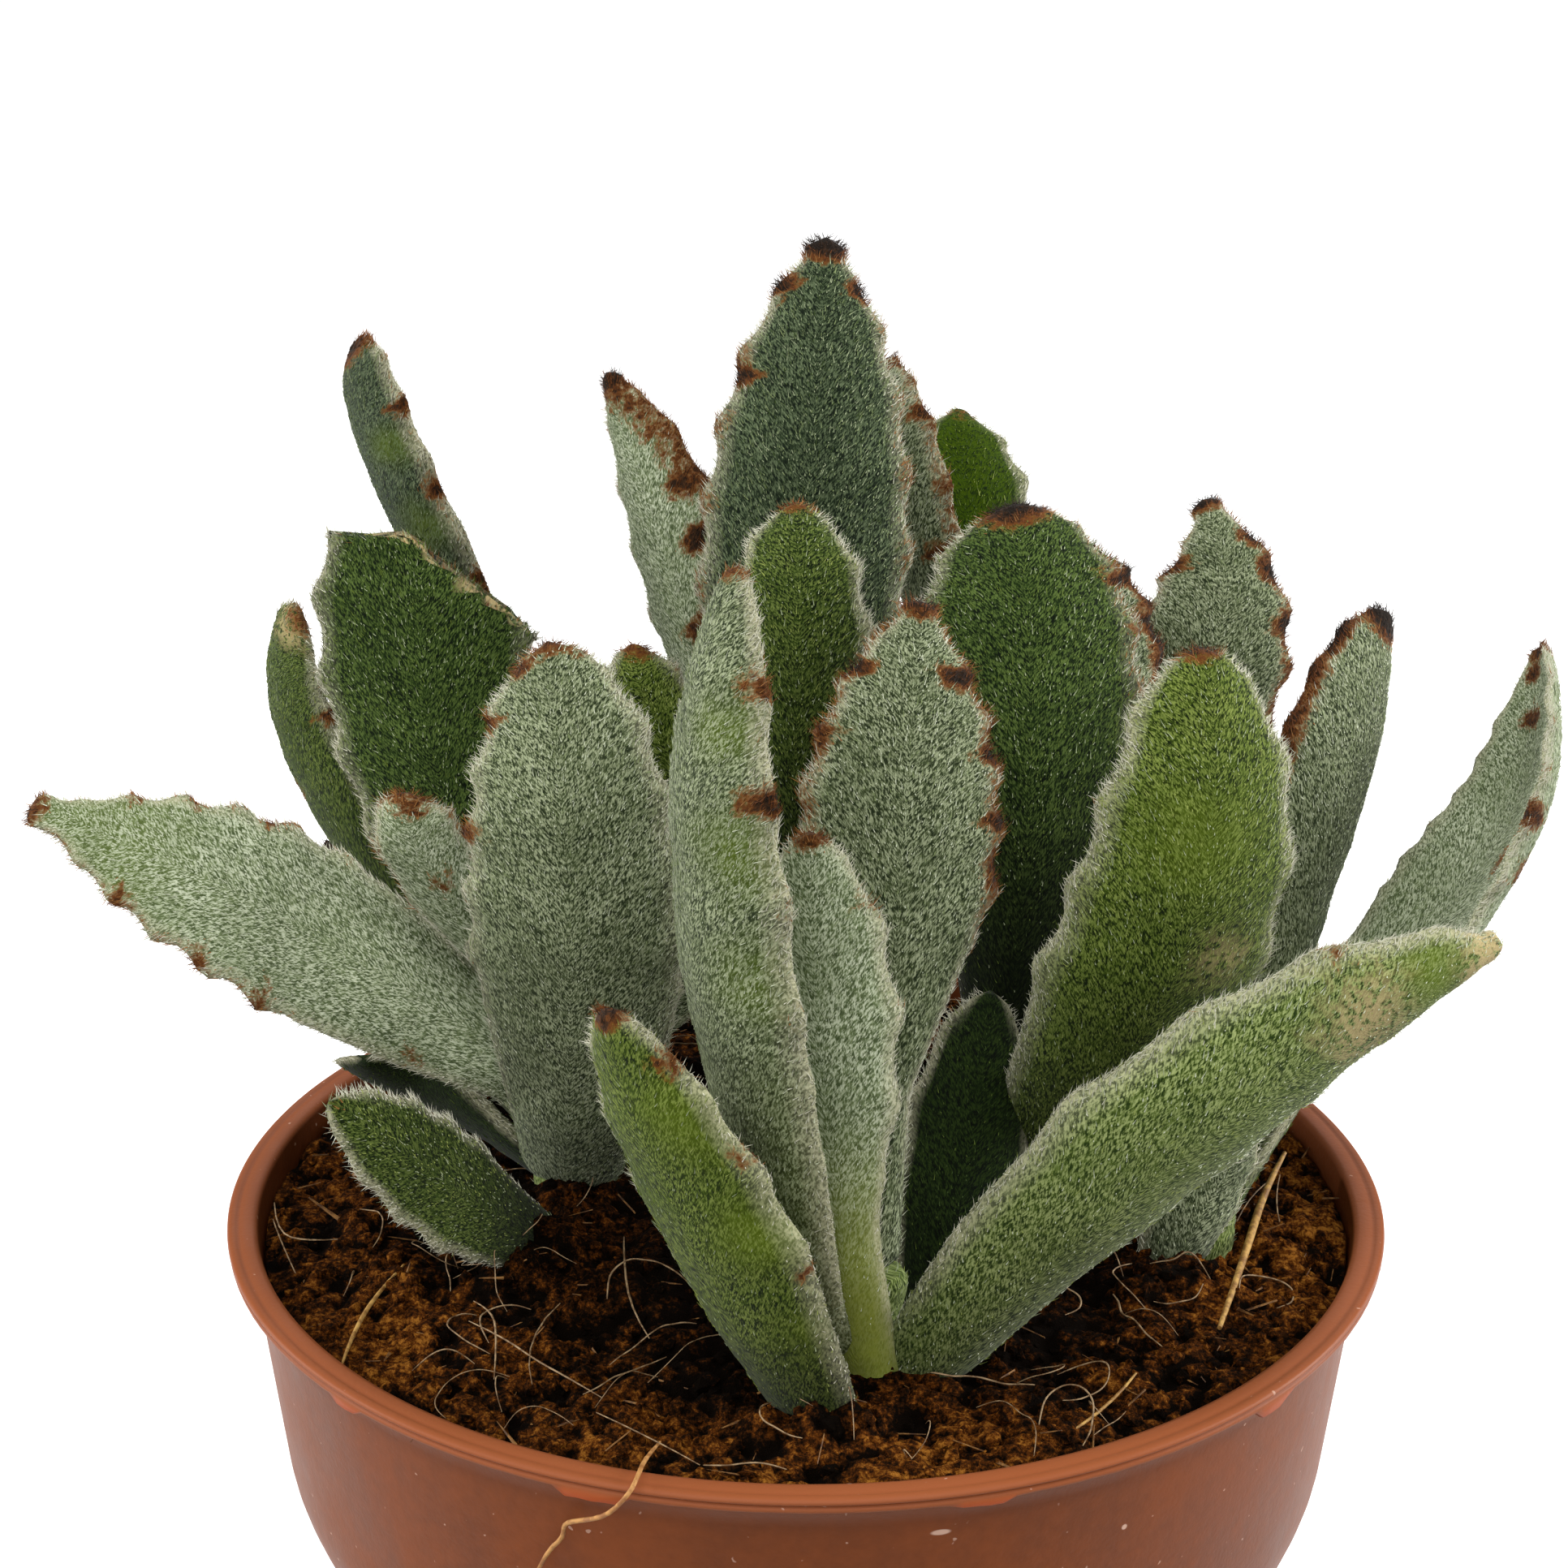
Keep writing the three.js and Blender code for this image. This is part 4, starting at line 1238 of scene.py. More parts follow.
LEAVES = (
    Leaf("front_tall", (3.2, -33.5, 47), (-7.7, -42, 92), (-6, -38, 126), (30, 0),
         Outline(18, 4.6, 7, 0.25, 0.45, 0.6, 4), Coat.SILVERY, Rust(0.45, (0.1, 0.2), (0, 0.1)),
         glow=0.2,
         marks=(tuft(0.85, -0.95, 1.7, 0.6), tuft(0.72, -0.95, 2, 0.75), bare(0.8, -0.6, 4.5, 0.5),
                bare(0.66, -0.7, 5, 0.55), bare(0.52, -0.8, 5, 0.4))),
    Leaf("front_small", (6, -37, 46), (2, -38, 77), (0, -35, 102), (75, 0),
         Outline(12, 3.4, 6, 0.2, 0.66, 0.6, 3, 0.3), Coat.PALE, Rust(0.55, (0.1, 0.15)), glow=1.0,
         marks=(tuft(0.86, -0.9, 1.4, 0.35),)),
    Leaf("front_left", (2, -40, 45), (-8, -45, 68), (-17, -48, 91), (50, 15),
         Outline(17, 4.6, 9, 0.2, 0.5, 0.6, 3), Coat.MEADOW, Rust(0.7, (0.15, 0.1)), dim=0.55,
         marks=(tuft(0.89, -0.9, 1.7, 0.5), tuft(0.7, -0.95, 1.3, 0.45),
                tuft(0.44, -0.95, 1.2, 0.4), bare(0.78, -0.75, 5, 0.6), bare(0.55, -0.85, 5, 0.7),
                bare(0.32, -0.9, 4, 0.5))),
    Leaf("low_right", (9, -34, 46.6), (33, -42, 77.8), (61, -34, 91), (105, 20),
         Outline(18, 5, 9.5, 0.2, 0.46, 0.8, 3), Coat.MISTY, Rust(0.1, (0.1, 0)), dim=0.35,
         marks=(bare(0.88, 0.3, 5, 0.9), scar(0.97, 0, 5), scar(0.76, 0, 6, 0.9),
                tuft(0.76, 0.9, 1.2, 0.35))),
    Leaf("red_margin", ("front", 58), (8, -28, 96), (10, -21, 119), (95, 0),
         Outline(17.5, 3.8, 5, 0.12, 0.52, 1, 5, 0.2), Coat.SILVERY,
         Rust(0.75, (0.5, 0.5), (0.42, 0.5), 3),
         marks=(tuft(0.83, -0.75, 2.2, 0.95), tuft(0.69, -0.97, 1.7, 0.95),
                tuft(0.58, -0.97, 1.5, 0.85), tuft(0.5, -1, 1.6, 0.85), tuft(0.83, 0.95, 1.8, 0.9),
                tuft(0.7, 0.98, 1.5, 0.75))),
    Leaf("shaded", (11, -27, 46), (15, -21, 62), (18, -13, 78), (90, 0),
         Outline(12, 3.6, 5.5, 0.2, 0.55, 0.6, 2), Coat.SHADY, UNMARKED, nap=2.4, dim=0.4),
    Leaf("right_big", ("right", 66), (21, -12, 102), (20, -2, 124), (90, 0),
         Outline(21, 4.4, 6.5, 0.25, 0.62, 0.52, 4), Coat.FOREST,
         Rust(0.95, (0.2, 0.5), (0, 0.3), 5), dim=0.9,
         marks=(tuft(0.82, -0.95, 1.6, 0.9),)),
    Leaf("right_front", ("right", 54), (33, -26, 87), (35, -22, 115), (100, 0),
         Outline(20, 5, 7, 0.25, 0.45, 0.5, 3), Coat.MEADOW, Rust(0.75, (0.1, 0.05)), dim=0.45,
         marks=(scar(0.52, -0.45, 3, 0.6), bare(0.7, 0.1, 7, 0.45))),
    Leaf("middle_front", ("middle", 66), (-1, -6, 104), (-1, -2, 124), (90, 0),
         Outline(13, 4, 6, 0.25, 0.6, 0.6, 3), Coat.COPSE, Rust(0.5, (0.1, 0.1)), dim=0.5),
    Leaf("middle_tall", ("middle", 78), (0, 6, 119), (2, 12, 148), (90, 0),
         Outline(20, 4.4, 6.5, 0.2, 0.45, 0.85, 4), Coat.DEEP,
         Rust(1, (0.4, 0.4), (0.15, 0.2), 4.2),
         marks=(tuft(0.9, 1, 1.9, 0.95), tuft(0.74, 1, 1.9, 0.95), tuft(0.9, -1, 1.9, 0.95))),
    Leaf("left_front", ("left", 51), (-22, -20, 87), (-24, -16, 114), (85, 0),
         Outline(20, 4.6, 10.5, 0.2, 0.46, 0.5, 4), Coat.SILVERY,
         Rust(0.65, (0.15, 0.1), (0.05, 0), 2.8),
         marks=(tuft(0.96, 0.75, 1.6, 0.7), tuft(0.97, -0.7, 1.3, 0.4), tuft(0.87, 1, 1.8, 0.65),
                tuft(0.66, 1, 1.8, 0.7))),
    Leaf("left_big", ("left", 61), (-52, -16, 87), (-72, -20, 99), (-80, 45),
         Outline(17, 4.4, 7, 0.2, 0.42, 1.25, 5), Coat.PALE, Rust(0.6, (0.3, 0.2), (0.1, 0.3)),
         marks=(bare(0.82, 0, 14, 0.4), tuft(0.74, -0.95, 1.6, 0.6), tuft(0.58, -0.95, 1.6, 0.6),
                tuft(0.47, -0.95, 1.5, 0.6), tuft(0.23, -0.8, 1.4, 0.5), tuft(0.79, 1, 1.4, 0.5),
                tuft(0.68, 1, 1.3, 0.5), tuft(0.55, 1, 1.5, 0.5))),
    Leaf("left_low", (-26, -9, 47), (-35, -22, 61), (-44, -30, 74), (-60, 40),
         Outline(11, 4, 5.4, 0.2, 0.5, 0.6, 3), Coat.COPSE, Rust(0.1, (0, 0)), dim=0.8),
    Leaf("left_small", ("left", 71), (-36, -10, 89), (-38, -12, 98), (90, 0),
         Outline(8, 3.4, 5, 0.2, 0.6, 0.6, 2), Coat.PALE, Rust(0.6, (0.4, 0.4), (0.2, 0.2)),
         marks=(tuft(0.87, -0.1, 2.4, 0.5), tuft(0.5, -0.1, 2, 0.45))),
    Leaf("left_back", ("left", 66), (-37.6, 6, 95), (-38, 10, 126), (90, 0),
         Outline(21, 3.8, 6.5, 0.1, 0.74, 0.4, 4), Coat.FOREST, Rust(0.1, (0.1, 0.1)),
         breaks=(Break((-43, 8, 119), 0), Break((-35, 8, 115), 40))),
    Leaf("left_far", ("left", 61), (-52, 16, 91), (-53.2, 18, 108), (30, 0),
         Outline(15, 3.8, 5.5, 0.2, 0.6, 0.5, 4), Coat.COPSE, Rust(0.45, (0.2, 0.2), (0, 0), 3.5),
         nap=2.8, dim=0.6,
         marks=(scar(0.95, 0, 5, 0.7), tuft(0.5, 0.5, 2.5, 0.35), tuft(0.65, 0.75, 1.5, 0.7),
                tuft(0.6, -0.95, 1.5, 0.7))),
    Leaf("left_dark", ("left", 51), (-40, 8, 57), (-47, 4, 63), (90, 50),
         Outline(16, 3.6, 5.5, 0.2, 0.5, 0.6, 2), Coat.SHADY, UNMARKED, nap=2.4),
    Leaf("rust_edge", ("middle", 72), (-11, 17, 107), (-21, 24, 133), (50, 0),
         Outline(14, 3.8, 5.5, 0.2, 0.5, 0.75, 4), Coat.PALE, Rust(0.8, (0.3, 0.5), (0.1, 0.55), 4),
         nap=2.8,
         marks=(tuft(0.97, -0.2, 4.2, 0.6), tuft(0.91, -0.7, 3.6, 0.5), tuft(0.85, -0.8, 3.2, 0.46),
                tuft(0.8, -0.9, 2.8, 0.46), tuft(0.74, -0.8, 2.6, 0.75),
                tuft(0.64, -0.7, 2.4, 0.95), tuft(0.5, -0.2, 2.2, 0.95))),
    Leaf("middle_small", ("middle", 72), (-14, 6, 97), (-17, 6, 108), (90, 0),
         Outline(9, 3.4, 5, 0.2, 0.5, 0.8, 2), Coat.MEADOW, Rust(0.55, (0.2, 0.2)), nap=2.4,
         dim=0.5),
    Leaf("back_left_tall", ("back_left", 66), (-41.3, 20, 118), (-46.4, 22, 135), (30, 0),
         Outline(16, 3.8, 5.5, 0.2, 0.4, 0.55, 4), Coat.DEEP, Rust(0.95, (0.1, 0.2), (0, 0.15)),
         nap=2.8,
         marks=(tuft(0.93, -0.1, 6, 0.75), bare(0.64, -0.6, 3.5, 0.6), bare(0.5, -0.6, 3.5, 0.6),
                bare(0.37, -0.6, 3, 0.5), tuft(0.71, -1, 1.8, 0.8), tuft(0.55, -1, 1.8, 0.8),
                tuft(0.41, -1, 1.8, 0.75))),
    Leaf("behind_middle", ("back_right", 78), (11, 18, 117), (9, 24, 134), (30, 0),
         Outline(15, 3.8, 5.5, 0.2, 0.5, 0.9, 4), Coat.SILVERY, Rust(0.8, (0.4, 0.5), (0.2, 0.4)),
         nap=2.4,
         marks=(tuft(0.92, -1, 1.5, 0.7), tuft(0.75, -1, 1.8, 0.75), tuft(0.59, -1, 1.6, 0.6),
                tuft(0.48, -0.75, 1.7, 0.85))),
    Leaf("bright_back", ("back_right", 72), (19, 36, 111), (18, 42, 126), (90, 0),
         Outline(14, 4, 5.5, 0.2, 0.5, 0.9, 3), Coat.BRIGHT, Rust(0.3, (0, 0)), nap=2.4),
    Leaf("behind_right", ("right", 70), (27, 6, 100.3), (26, 14, 117.2), (90, 0),
         Outline(19, 3.8, 5.5, 0.15, 0.5, 0.8, 5), Coat.SILVERY,
         Rust(0.8, (0.3, 0.7), (0.2, 0.85), 3.5), nap=2.4,
         marks=(tuft(0.97, -0.9, 1.9, 0.85), tuft(0.83, -0.85, 2.1, 0.95),
                tuft(0.71, -0.95, 1.9, 0.9))),
    Leaf("back_right_blue", ("back_right", 66), (42, 18, 99), (43, 26, 119), (90, 0),
         Outline(17, 3.8, 5.5, 0.12, 0.5, 1.05, 4), Coat.SILVERY,
         Rust(0.95, (0.6, 0.75), (0.2, 0.6), 3.2), nap=2.8,
         marks=(tuft(0.81, 1, 2.2, 0.8), tuft(0.87, -1, 2.1, 0.9), tuft(0.79, -1, 2.2, 0.95),
                tuft(0.68, -1, 2.2, 0.9))),
    Leaf("dark_tip", ("far_right", 60), (51, -6, 93), (57, 0, 113), (140, 0),
         Outline(19, 4.2, 8, 0.25, 0.52, 0.7, 4), Coat.SILVERY,
         Rust(1, (0.95, 0.2), (0.9, 0.1), 5)),
    Leaf("far_right_channel", ("far_right", 61), (66.6, -8, 87), (73.6, 2, 109), (190, 0),
         Outline(17, 3.4, 6, 0.45, 0.5, 0.7, 5), Coat.PALE, Rust(0.7, (0.2, 0.2)),
         marks=(tuft(0.94, -0.35, 1.7, 0.8), tuft(0.84, -0.1, 1.9, 0.9), tuft(0.63, 0.9, 1.9, 0.85),
                tuft(0.55, 0.6, 2.4, 0.6))),
    Leaf("right_low", (34.5, -19, 46), (39, -15, 56), (44.5, -14, 65), (90, 20),
         Outline(9, 3.6, 4.2, 0.2, 0.5, 0.6, 2), Coat.SILVERY, UNMARKED, nap=2.4, dim=0.7),
    far_leaf("back_low_left", ("back_left", 60), (-36, 42, 76), (-48, 50, 90), (-60, 50),
             Outline(17, 4, 6, 0.25, 0.55, 0.7, 4), Coat.SILVERY, KNOTTED),
    far_leaf("back_upright", ("back_left", 70), (-19, 42, 82), (-20, 47, 94), (-95, 10),
             Outline(18, 4.2, 6, 0.25, 0.55, 0.6, 4), Coat.FOREST, TIPPED),
    far_leaf("back_middle", ("middle", 66), (3, 28, 84), (3, 36, 104), (-90, 10),
             Outline(17, 4.2, 6, 0.25, 0.55, 0.7, 4), Coat.MEADOW, EDGED),
    far_leaf("back_right_upright", ("back_right", 62), (31, 44, 82), (35, 51, 102), (-100, 15),
             Outline(18, 4.2, 6, 0.25, 0.55, 0.6, 4), Coat.SILVERY, KNOTTED),
    far_leaf("back_low_right", ("back_right", 57), (45, 36, 68), (57, 42, 80), (-140, 50),
             Outline(15, 4, 6, 0.25, 0.55, 0.7, 3), Coat.PALE, TIPPED),
    far_leaf("back_small", ("back_left", 55), (-8, 44, 64), (-3, 52, 76), (-90, 50),
             Outline(13, 3.8, 5.5, 0.2, 0.55, 0.7, 3), Coat.SILVERY, EDGED),
    far_leaf("back_centre", ("back_right", 64), (12, 44, 78), (8, 54, 92), (-70, 40),
             Outline(16, 4, 6, 0.25, 0.55, 0.7, 3), Coat.FOREST, KNOTTED),
    far_leaf("back_left_upright", ("back_left", 74), (-30, 38, 86), (-36, 43, 98), (-60, 20),
             Outline(15, 4, 6, 0.25, 0.55, 0.7, 3), Coat.MEADOW, TIPPED),
    far_leaf("back_inner", ("middle", 60), (-12, 22, 76), (-16, 30, 90), (-60, 20),
             Outline(14, 4, 6, 0.25, 0.55, 0.7, 3), Coat.SILVERY, EDGED),
    far_leaf("right_inner", ("right", 58), (34, 4, 74), (42, 12, 86), (-120, 40),
             Outline(15, 4, 6, 0.25, 0.55, 0.7, 3), Coat.PALE, KNOTTED),
    far_leaf("side_left", ("left", 55), (-43, 18, 68), (-54, 26, 80), (-30, 55),
             Outline(14, 3.8, 5.5, 0.2, 0.55, 0.7, 3), Coat.SILVERY, TIPPED),
    far_leaf("side_right", ("far_right", 50), (54, 8, 64), (61, 16, 70), (190, 50),
             Outline(13, 3.8, 5.5, 0.2, 0.55, 0.7, 3), Coat.FOREST, EDGED),
)


# ---------------------------------------------------------------- soil


@dataclass(frozen=True)
class Soil:
    """The potting soil: a crumbly fill with loose crumbs, bits of coir and fine curly roots.

    Attributes:
        edge: its radius at the top, just inside the pot's wall.
        hidden: the radius within which the stems and leaves hide it.
        crumbs_per_mm2: loose crumbs on each square millimetre.
        coir_per_mm2: bits of coir on each square millimetre.
        roots: how many fine roots lie on it.
        seed: the draw of all that is random on it.
        mounds: where it is heaped against the leaves' feet, by place, reach and height.
        laid: the paler roots that catch the eye, as points of x, y and the height over the soil.
    """

    edge: float = 56.35
    hidden: float = 18.0
    crumbs_per_mm2: float = 0.42
    coir_per_mm2: float = 0.04
    roots: int = 120
    seed: int = 7
    mounds: tuple = (
        (-26.5, -13.5, 8, 2.6), (-24.2, -15.8, 3.5, 3.4), (-28.2, -19.2, 3.5, 3.2),
        (-31.4, -21.4, 3.2, 2.6), (-25.5, -4, 9, 2.6), (35.5, -20, 8, 2.4), (33, -22.5, 4, 3.2),
        (37, -22, 4, 3.2), (-3.6, -45, 3, 1.8), (0.4, -46.2, 3, 2.4), (4, -45.4, 3, 2.0),
        (5, -36, 10, 1.4), (17, -29, 9, 1.6),
    )
    laid: tuple = (
        ((-31.7, -31.9, 2.2), (-28.0, -35.0, 2.4), (-24.9, -37.8, 2.2), (-21.5, -40.6, 1.8),
         (-18.5, -42.9, 1.0)),
        ((-32.1, -25.5, 1.2), (-30.0, -28.7, 2.0), (-28.9, -33.1, 1.9), (-28.7, -38.2, 0.6)),
        ((-55.2, -6.0, 1.8), (-53.7, -12.7, 2.0), (-50.4, -13.6, 1.0), (-47.5, -12.6, 0.8)),
        ((-54.9, -8.4, 1.4), (-53.2, -13.4, 1.6), (-50.7, -18.4, 0.8)),
        ((-18.8, -45.4, 1.0), (-13.9, -49.2, 1.5), (-9.4, -53.0, 1.2)),
        ((-23.7, -26.4, 1.0), (-26.8, -33.8, 1.6), (-25.1, -39.4, 0.8)),
        ((-18.4, -12.9, 1.0), (-18.1, -18.5, 1.6), (-17.0, -27.9, 1.4), (-14.8, -32.4, 0.8)),
        ((-3.4, -39.0, 1.4), (-1.2, -42.0, 1.8), (1.0, -45.4, 0.8)),
        ((50.3, -1.0, 2.6), (48.9, -5.0, 1.6), (48.8, -9.0, 0.8)),
        ((49.6, -1.5, 2.4), (46.6, -4.0, 1.8), (44.6, -8.0, 0.8)),
    )

    STEPS = 460
    HIDDEN_RINGS, RINGS = 5, 62
    BODY_PROFILE = ((55.0, 30.0), (53.6, 24.0), (48.5, 14.0), (36.0, 1.6), (0.0, 1.6))
    CROWN, CROWN_SPREAD = 1.5, 3600
    BUMP = 0.9
    PACKED_CRUMBS = ((2.6, 1.1), (1.3, 0.8))
    SINK = 0.45
    TURNS = ((-0.5, -0.5, 0), (0.5, 0.5, 6.28))
    PUSH = 0.9
    ROOT_STEP = 1.25

    def height(self, x: float, y: float) -> float:
        """The height of the soil's surface at a point, without its crumbs."""
        crown = self.CROWN * (1 - (x * x + y * y) / self.CROWN_SPREAD)
        coarse = math.sin(0.31 * x + 1.2) * math.cos(0.27 * y - 0.6)
        fine = math.sin(0.63 * x - 0.41 * y) * math.cos(0.71 * y + 0.9)
        heaped = max(tall * smooth(math.hypot(x - mx, y - my), wide, 0.0)
                     for mx, my, wide, tall in self.mounds)
        return SOIL_TOP + crown + heaped + self.BUMP * (0.6 * coarse + 0.4 * fine)

    def build(self) -> None:
        """Makes the fill, its crumbs, its coir and its fine roots."""
        fill = self.fill()
        finish_piece(fill, "soil", "soil")
        crumbs = self.strewn("soil_crumbs", fill, self.crumb, self.crumbs_per_mm2, Earth())
        finish_piece(crumbs, "soil")
        coir = self.strewn("coir_bits", fill, self.coir, self.coir_per_mm2, COIR)
        finish_piece(coir, "fibre")
        finish_piece(self.fine_roots(), "fibre")

    def crumbs_under(self, place: Vector) -> float:
        """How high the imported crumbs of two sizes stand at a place."""
        total = 0.0
        for size, tall in self.PACKED_CRUMBS:
            gap = noise.voronoi(place / size, distance_metric="DISTANCE", exponent=2.5)[0]
            total += tall * (math.sqrt(max(0.0, 1 - (gap[0] / 0.75) ** 2)) - 0.5)
        return total

    def fill(self) -> bpy.types.Object:
        """The fill: a lathed body whose top is made of packed crumbs."""
        top = [(self.hidden * i / self.HIDDEN_RINGS, SOIL_TOP) for i in range(self.HIDDEN_RINGS)]
        top += [(self.hidden + (self.edge - self.hidden) * i / self.RINGS, SOIL_TOP)
                for i in range(self.RINGS + 1)]
        form = spun([*top, (self.edge - 0.3, 40.0), *self.BODY_PROFILE], self.STEPS)
        shown, hollow, damp = number_layers(form, "shown", "hollow", "damp")
        for vert in form.verts:
            if vert.co.z > SOIL_TOP - 0.01:
                x, y = vert.co.x, vert.co.y
                out = math.hypot(x, y)
                drift = noise.noise(Vector((x * 0.16, y * 0.16, 3.0)))
                lumps = self.crumbs_under(Vector((x, y, 3.0))) + 0.6 * drift
                inside = smooth(out, self.edge, self.edge - 1.5)
                vert.co.z = self.height(x, y) + lumps * (0.3 + 0.7 * inside) - self.SINK
                vert[shown] = inside * smooth(out, self.hidden, self.hidden + 4)
                # painted shade where the packed crumbs dip
                vert[hollow] = smooth(lumps, 0.4, -0.6)
                # darker towards the middle: partly damp soil, partly painted shade under the leaves
                vert[damp] = smooth(math.hypot(x, y + 4) + 6 * drift, 46, 30)
        form.normal_update()
        return make_piece("soil_fill", form, Earth().material())

    @staticmethod
    def crumb(growth: Growth) -> tuple[Signal, Signal]:
        """A loose crumb's mesh, and the three random sizes that it comes in."""
        lump = growth.out("GeometryNodeMeshIcoSphere", {"Radius": 1.0, "Subdivisions": 1})
        rank = growth.math("POWER", growth.chance(0.0, 1.0, 4), 3.0)
        size = growth.math("MULTIPLY_ADD", rank, 0.8 * MM, 0.3 * MM)
        return lump, growth.chance((0.6, 0.6, 0.5), (1.5, 1.1, 1.0), 5).scaled(size)

    @staticmethod
    def coir(growth: Growth) -> tuple[Signal, Signal]:
        """A thin splinter on its side, and the three random sizes that it comes in."""
        lie = {"Geometry": growth.cone(4, 0.5, 1.0, 2.0), "Rotation": (0.0, math.pi / 2, 0.0)}
        ends = [tuple(size * MM for size in end) for end in ((0.7, 0.06, 0.06), (2.2, 0.16, 0.12))]
        return growth.out("GeometryNodeTransform", lie), growth.chance(*ends, 8)

    def strewn(self, name: str, fill: bpy.types.Object, bit: Callable[[Growth], tuple],
               per_mm2: float, finish: Finish) -> bpy.types.Object:
        """Bits strewn on the fill, each turned its own way and a little misshapen.

        Args:
            name: the piece's name.
            fill: what they lie on.
            bit: what gives a bit's mesh and sizes.
            per_mm2: how many lie on each square millimetre.
            finish: their finish.

        Returns:
            All of them as one mesh.
        """
        growth = Growth(name, {})
        spots = growth.spots(growth.named("shown") * (per_mm2 / MM**2), self.seed)
        mesh, size = bit(growth)
        turn = growth.chance(*self.TURNS, 3)
        loose = growth.planted(growth.signal(spots), mesh, turn, size)
        cloud = growth.out("ShaderNodeTexNoise", {"Vector": growth.out("GeometryNodeInputPosition"),
                                                  "Scale": 1.4 / MM, "Detail": 1.0}, "Color")
        push = growth.vector("SUBTRACT", cloud, (0.5, 0.5, 0.5)).scaled(self.PUSH * MM)
        growth.add("NodeGroupOutput", {"Geometry": growth.moved(loose, push)})
        heap = growth.grown(name, fill, {})
        heap.data.materials.clear()
        heap.data.materials.append(finish.material())
        return heap

    def fine_roots(self) -> bpy.types.Object:
        """Fine pale roots that curl over the crumbs."""
        draw = random.Random(self.seed)
        lines = [[(x, y, self.height(x, y) + up) for x, y, up in line] for line in self.laid]
        radii = [0.11] * len(lines)
        for _ in range(self.roots):
            line = self.curl(draw)
            if len(line) > 3:
                lines.append(line)
                radii.append(draw.uniform(0.05, 0.1))
        return strands("fine_roots", lines, radii, FINE_ROOT, 0)

    def curl(self, draw: random.Random) -> list[Triple]:
        """The points of a root that curls over the soil from a random place."""
        turn = draw.uniform(0, 2 * math.pi)
        out = (self.edge - 4) * math.sqrt(draw.uniform(0.03, 1))
        x, y = out * math.cos(turn), out * math.sin(turn)
        heading = draw.uniform(0, 2 * math.pi)
        bend = draw.uniform(-0.5, 0.5)
        lift = draw.uniform(0.2, 2.2)
        steps = draw.randint(5, 11)
        line = []
        for i in range(steps):
            if math.hypot(x, y) > self.edge - 1.5:
                break
            arch = math.sin(math.pi * i / (steps - 1))
            line.append((x, y, self.height(x, y) + 0.5 + lift * arch + draw.uniform(-0.1, 0.2)))
            heading += bend + draw.uniform(-0.35, 0.35)
            x += self.ROOT_STEP * math.cos(heading)
            y += self.ROOT_STEP * math.sin(heading)
        return line


@dataclass(frozen=True)
class Strand:
    """A straw on the soil, or the root that hangs over the rim.

    Attributes:
        name: its name, which is its node's name too.
        thick: its thickness.
        fibre: its finish.
        points: the points that it follows.
    """

    name: str
    thick: float
    fibre: Fibre
    points: tuple

    def build(self) -> None:
        """Makes the strand as a tapered tube."""
        piece = strands(f"fibre_{self.name}", [self.points], [self.thick / 2], self.fibre)
        finish_piece(piece, "fibre", self.name)


STRANDS = (
    Strand("straw_right", 0.85, GOLDEN_STRAW,
           ((50.9, 0, 54), (47.8, -5, 52), (43.8, -17, 51.2), (39, -30, 50.6))),
    Strand("straw_left", 0.45, GOLDEN_STRAW,
           ((-40, -18, 50.6), (-42, -24, 50.5), (-43, -31, 50.2), (-43, -36, 50.3))),
    Strand("straw_front", 0.4, GOLDEN_STRAW, ((30, -38, 50.6), (27, -43, 50.2), (23, -47, 50.2))),
    Strand("root_over_rim", 0.42, PALE_ROOT,
           ((-13, -49, 50.5), (-14, -54, 52.2), (-14.4, -58, 53), (-15, -59.6, 52.4),
            (-17, -59, 49.8), (-19.5, -56.9, 48), (-21, -55.2, 46.6), (-21, -55, 45),
            (-22.8, -54, 42.8), (-24.5, -52.8, 38))),
)


# ---------------------------------------------------------------- pot


@dataclass(frozen=True)
class Scrap:
    """A torn scrap of flash under the rim: its direction and span in degrees, and its drop."""

    direction: float
    span: float
    drop: float


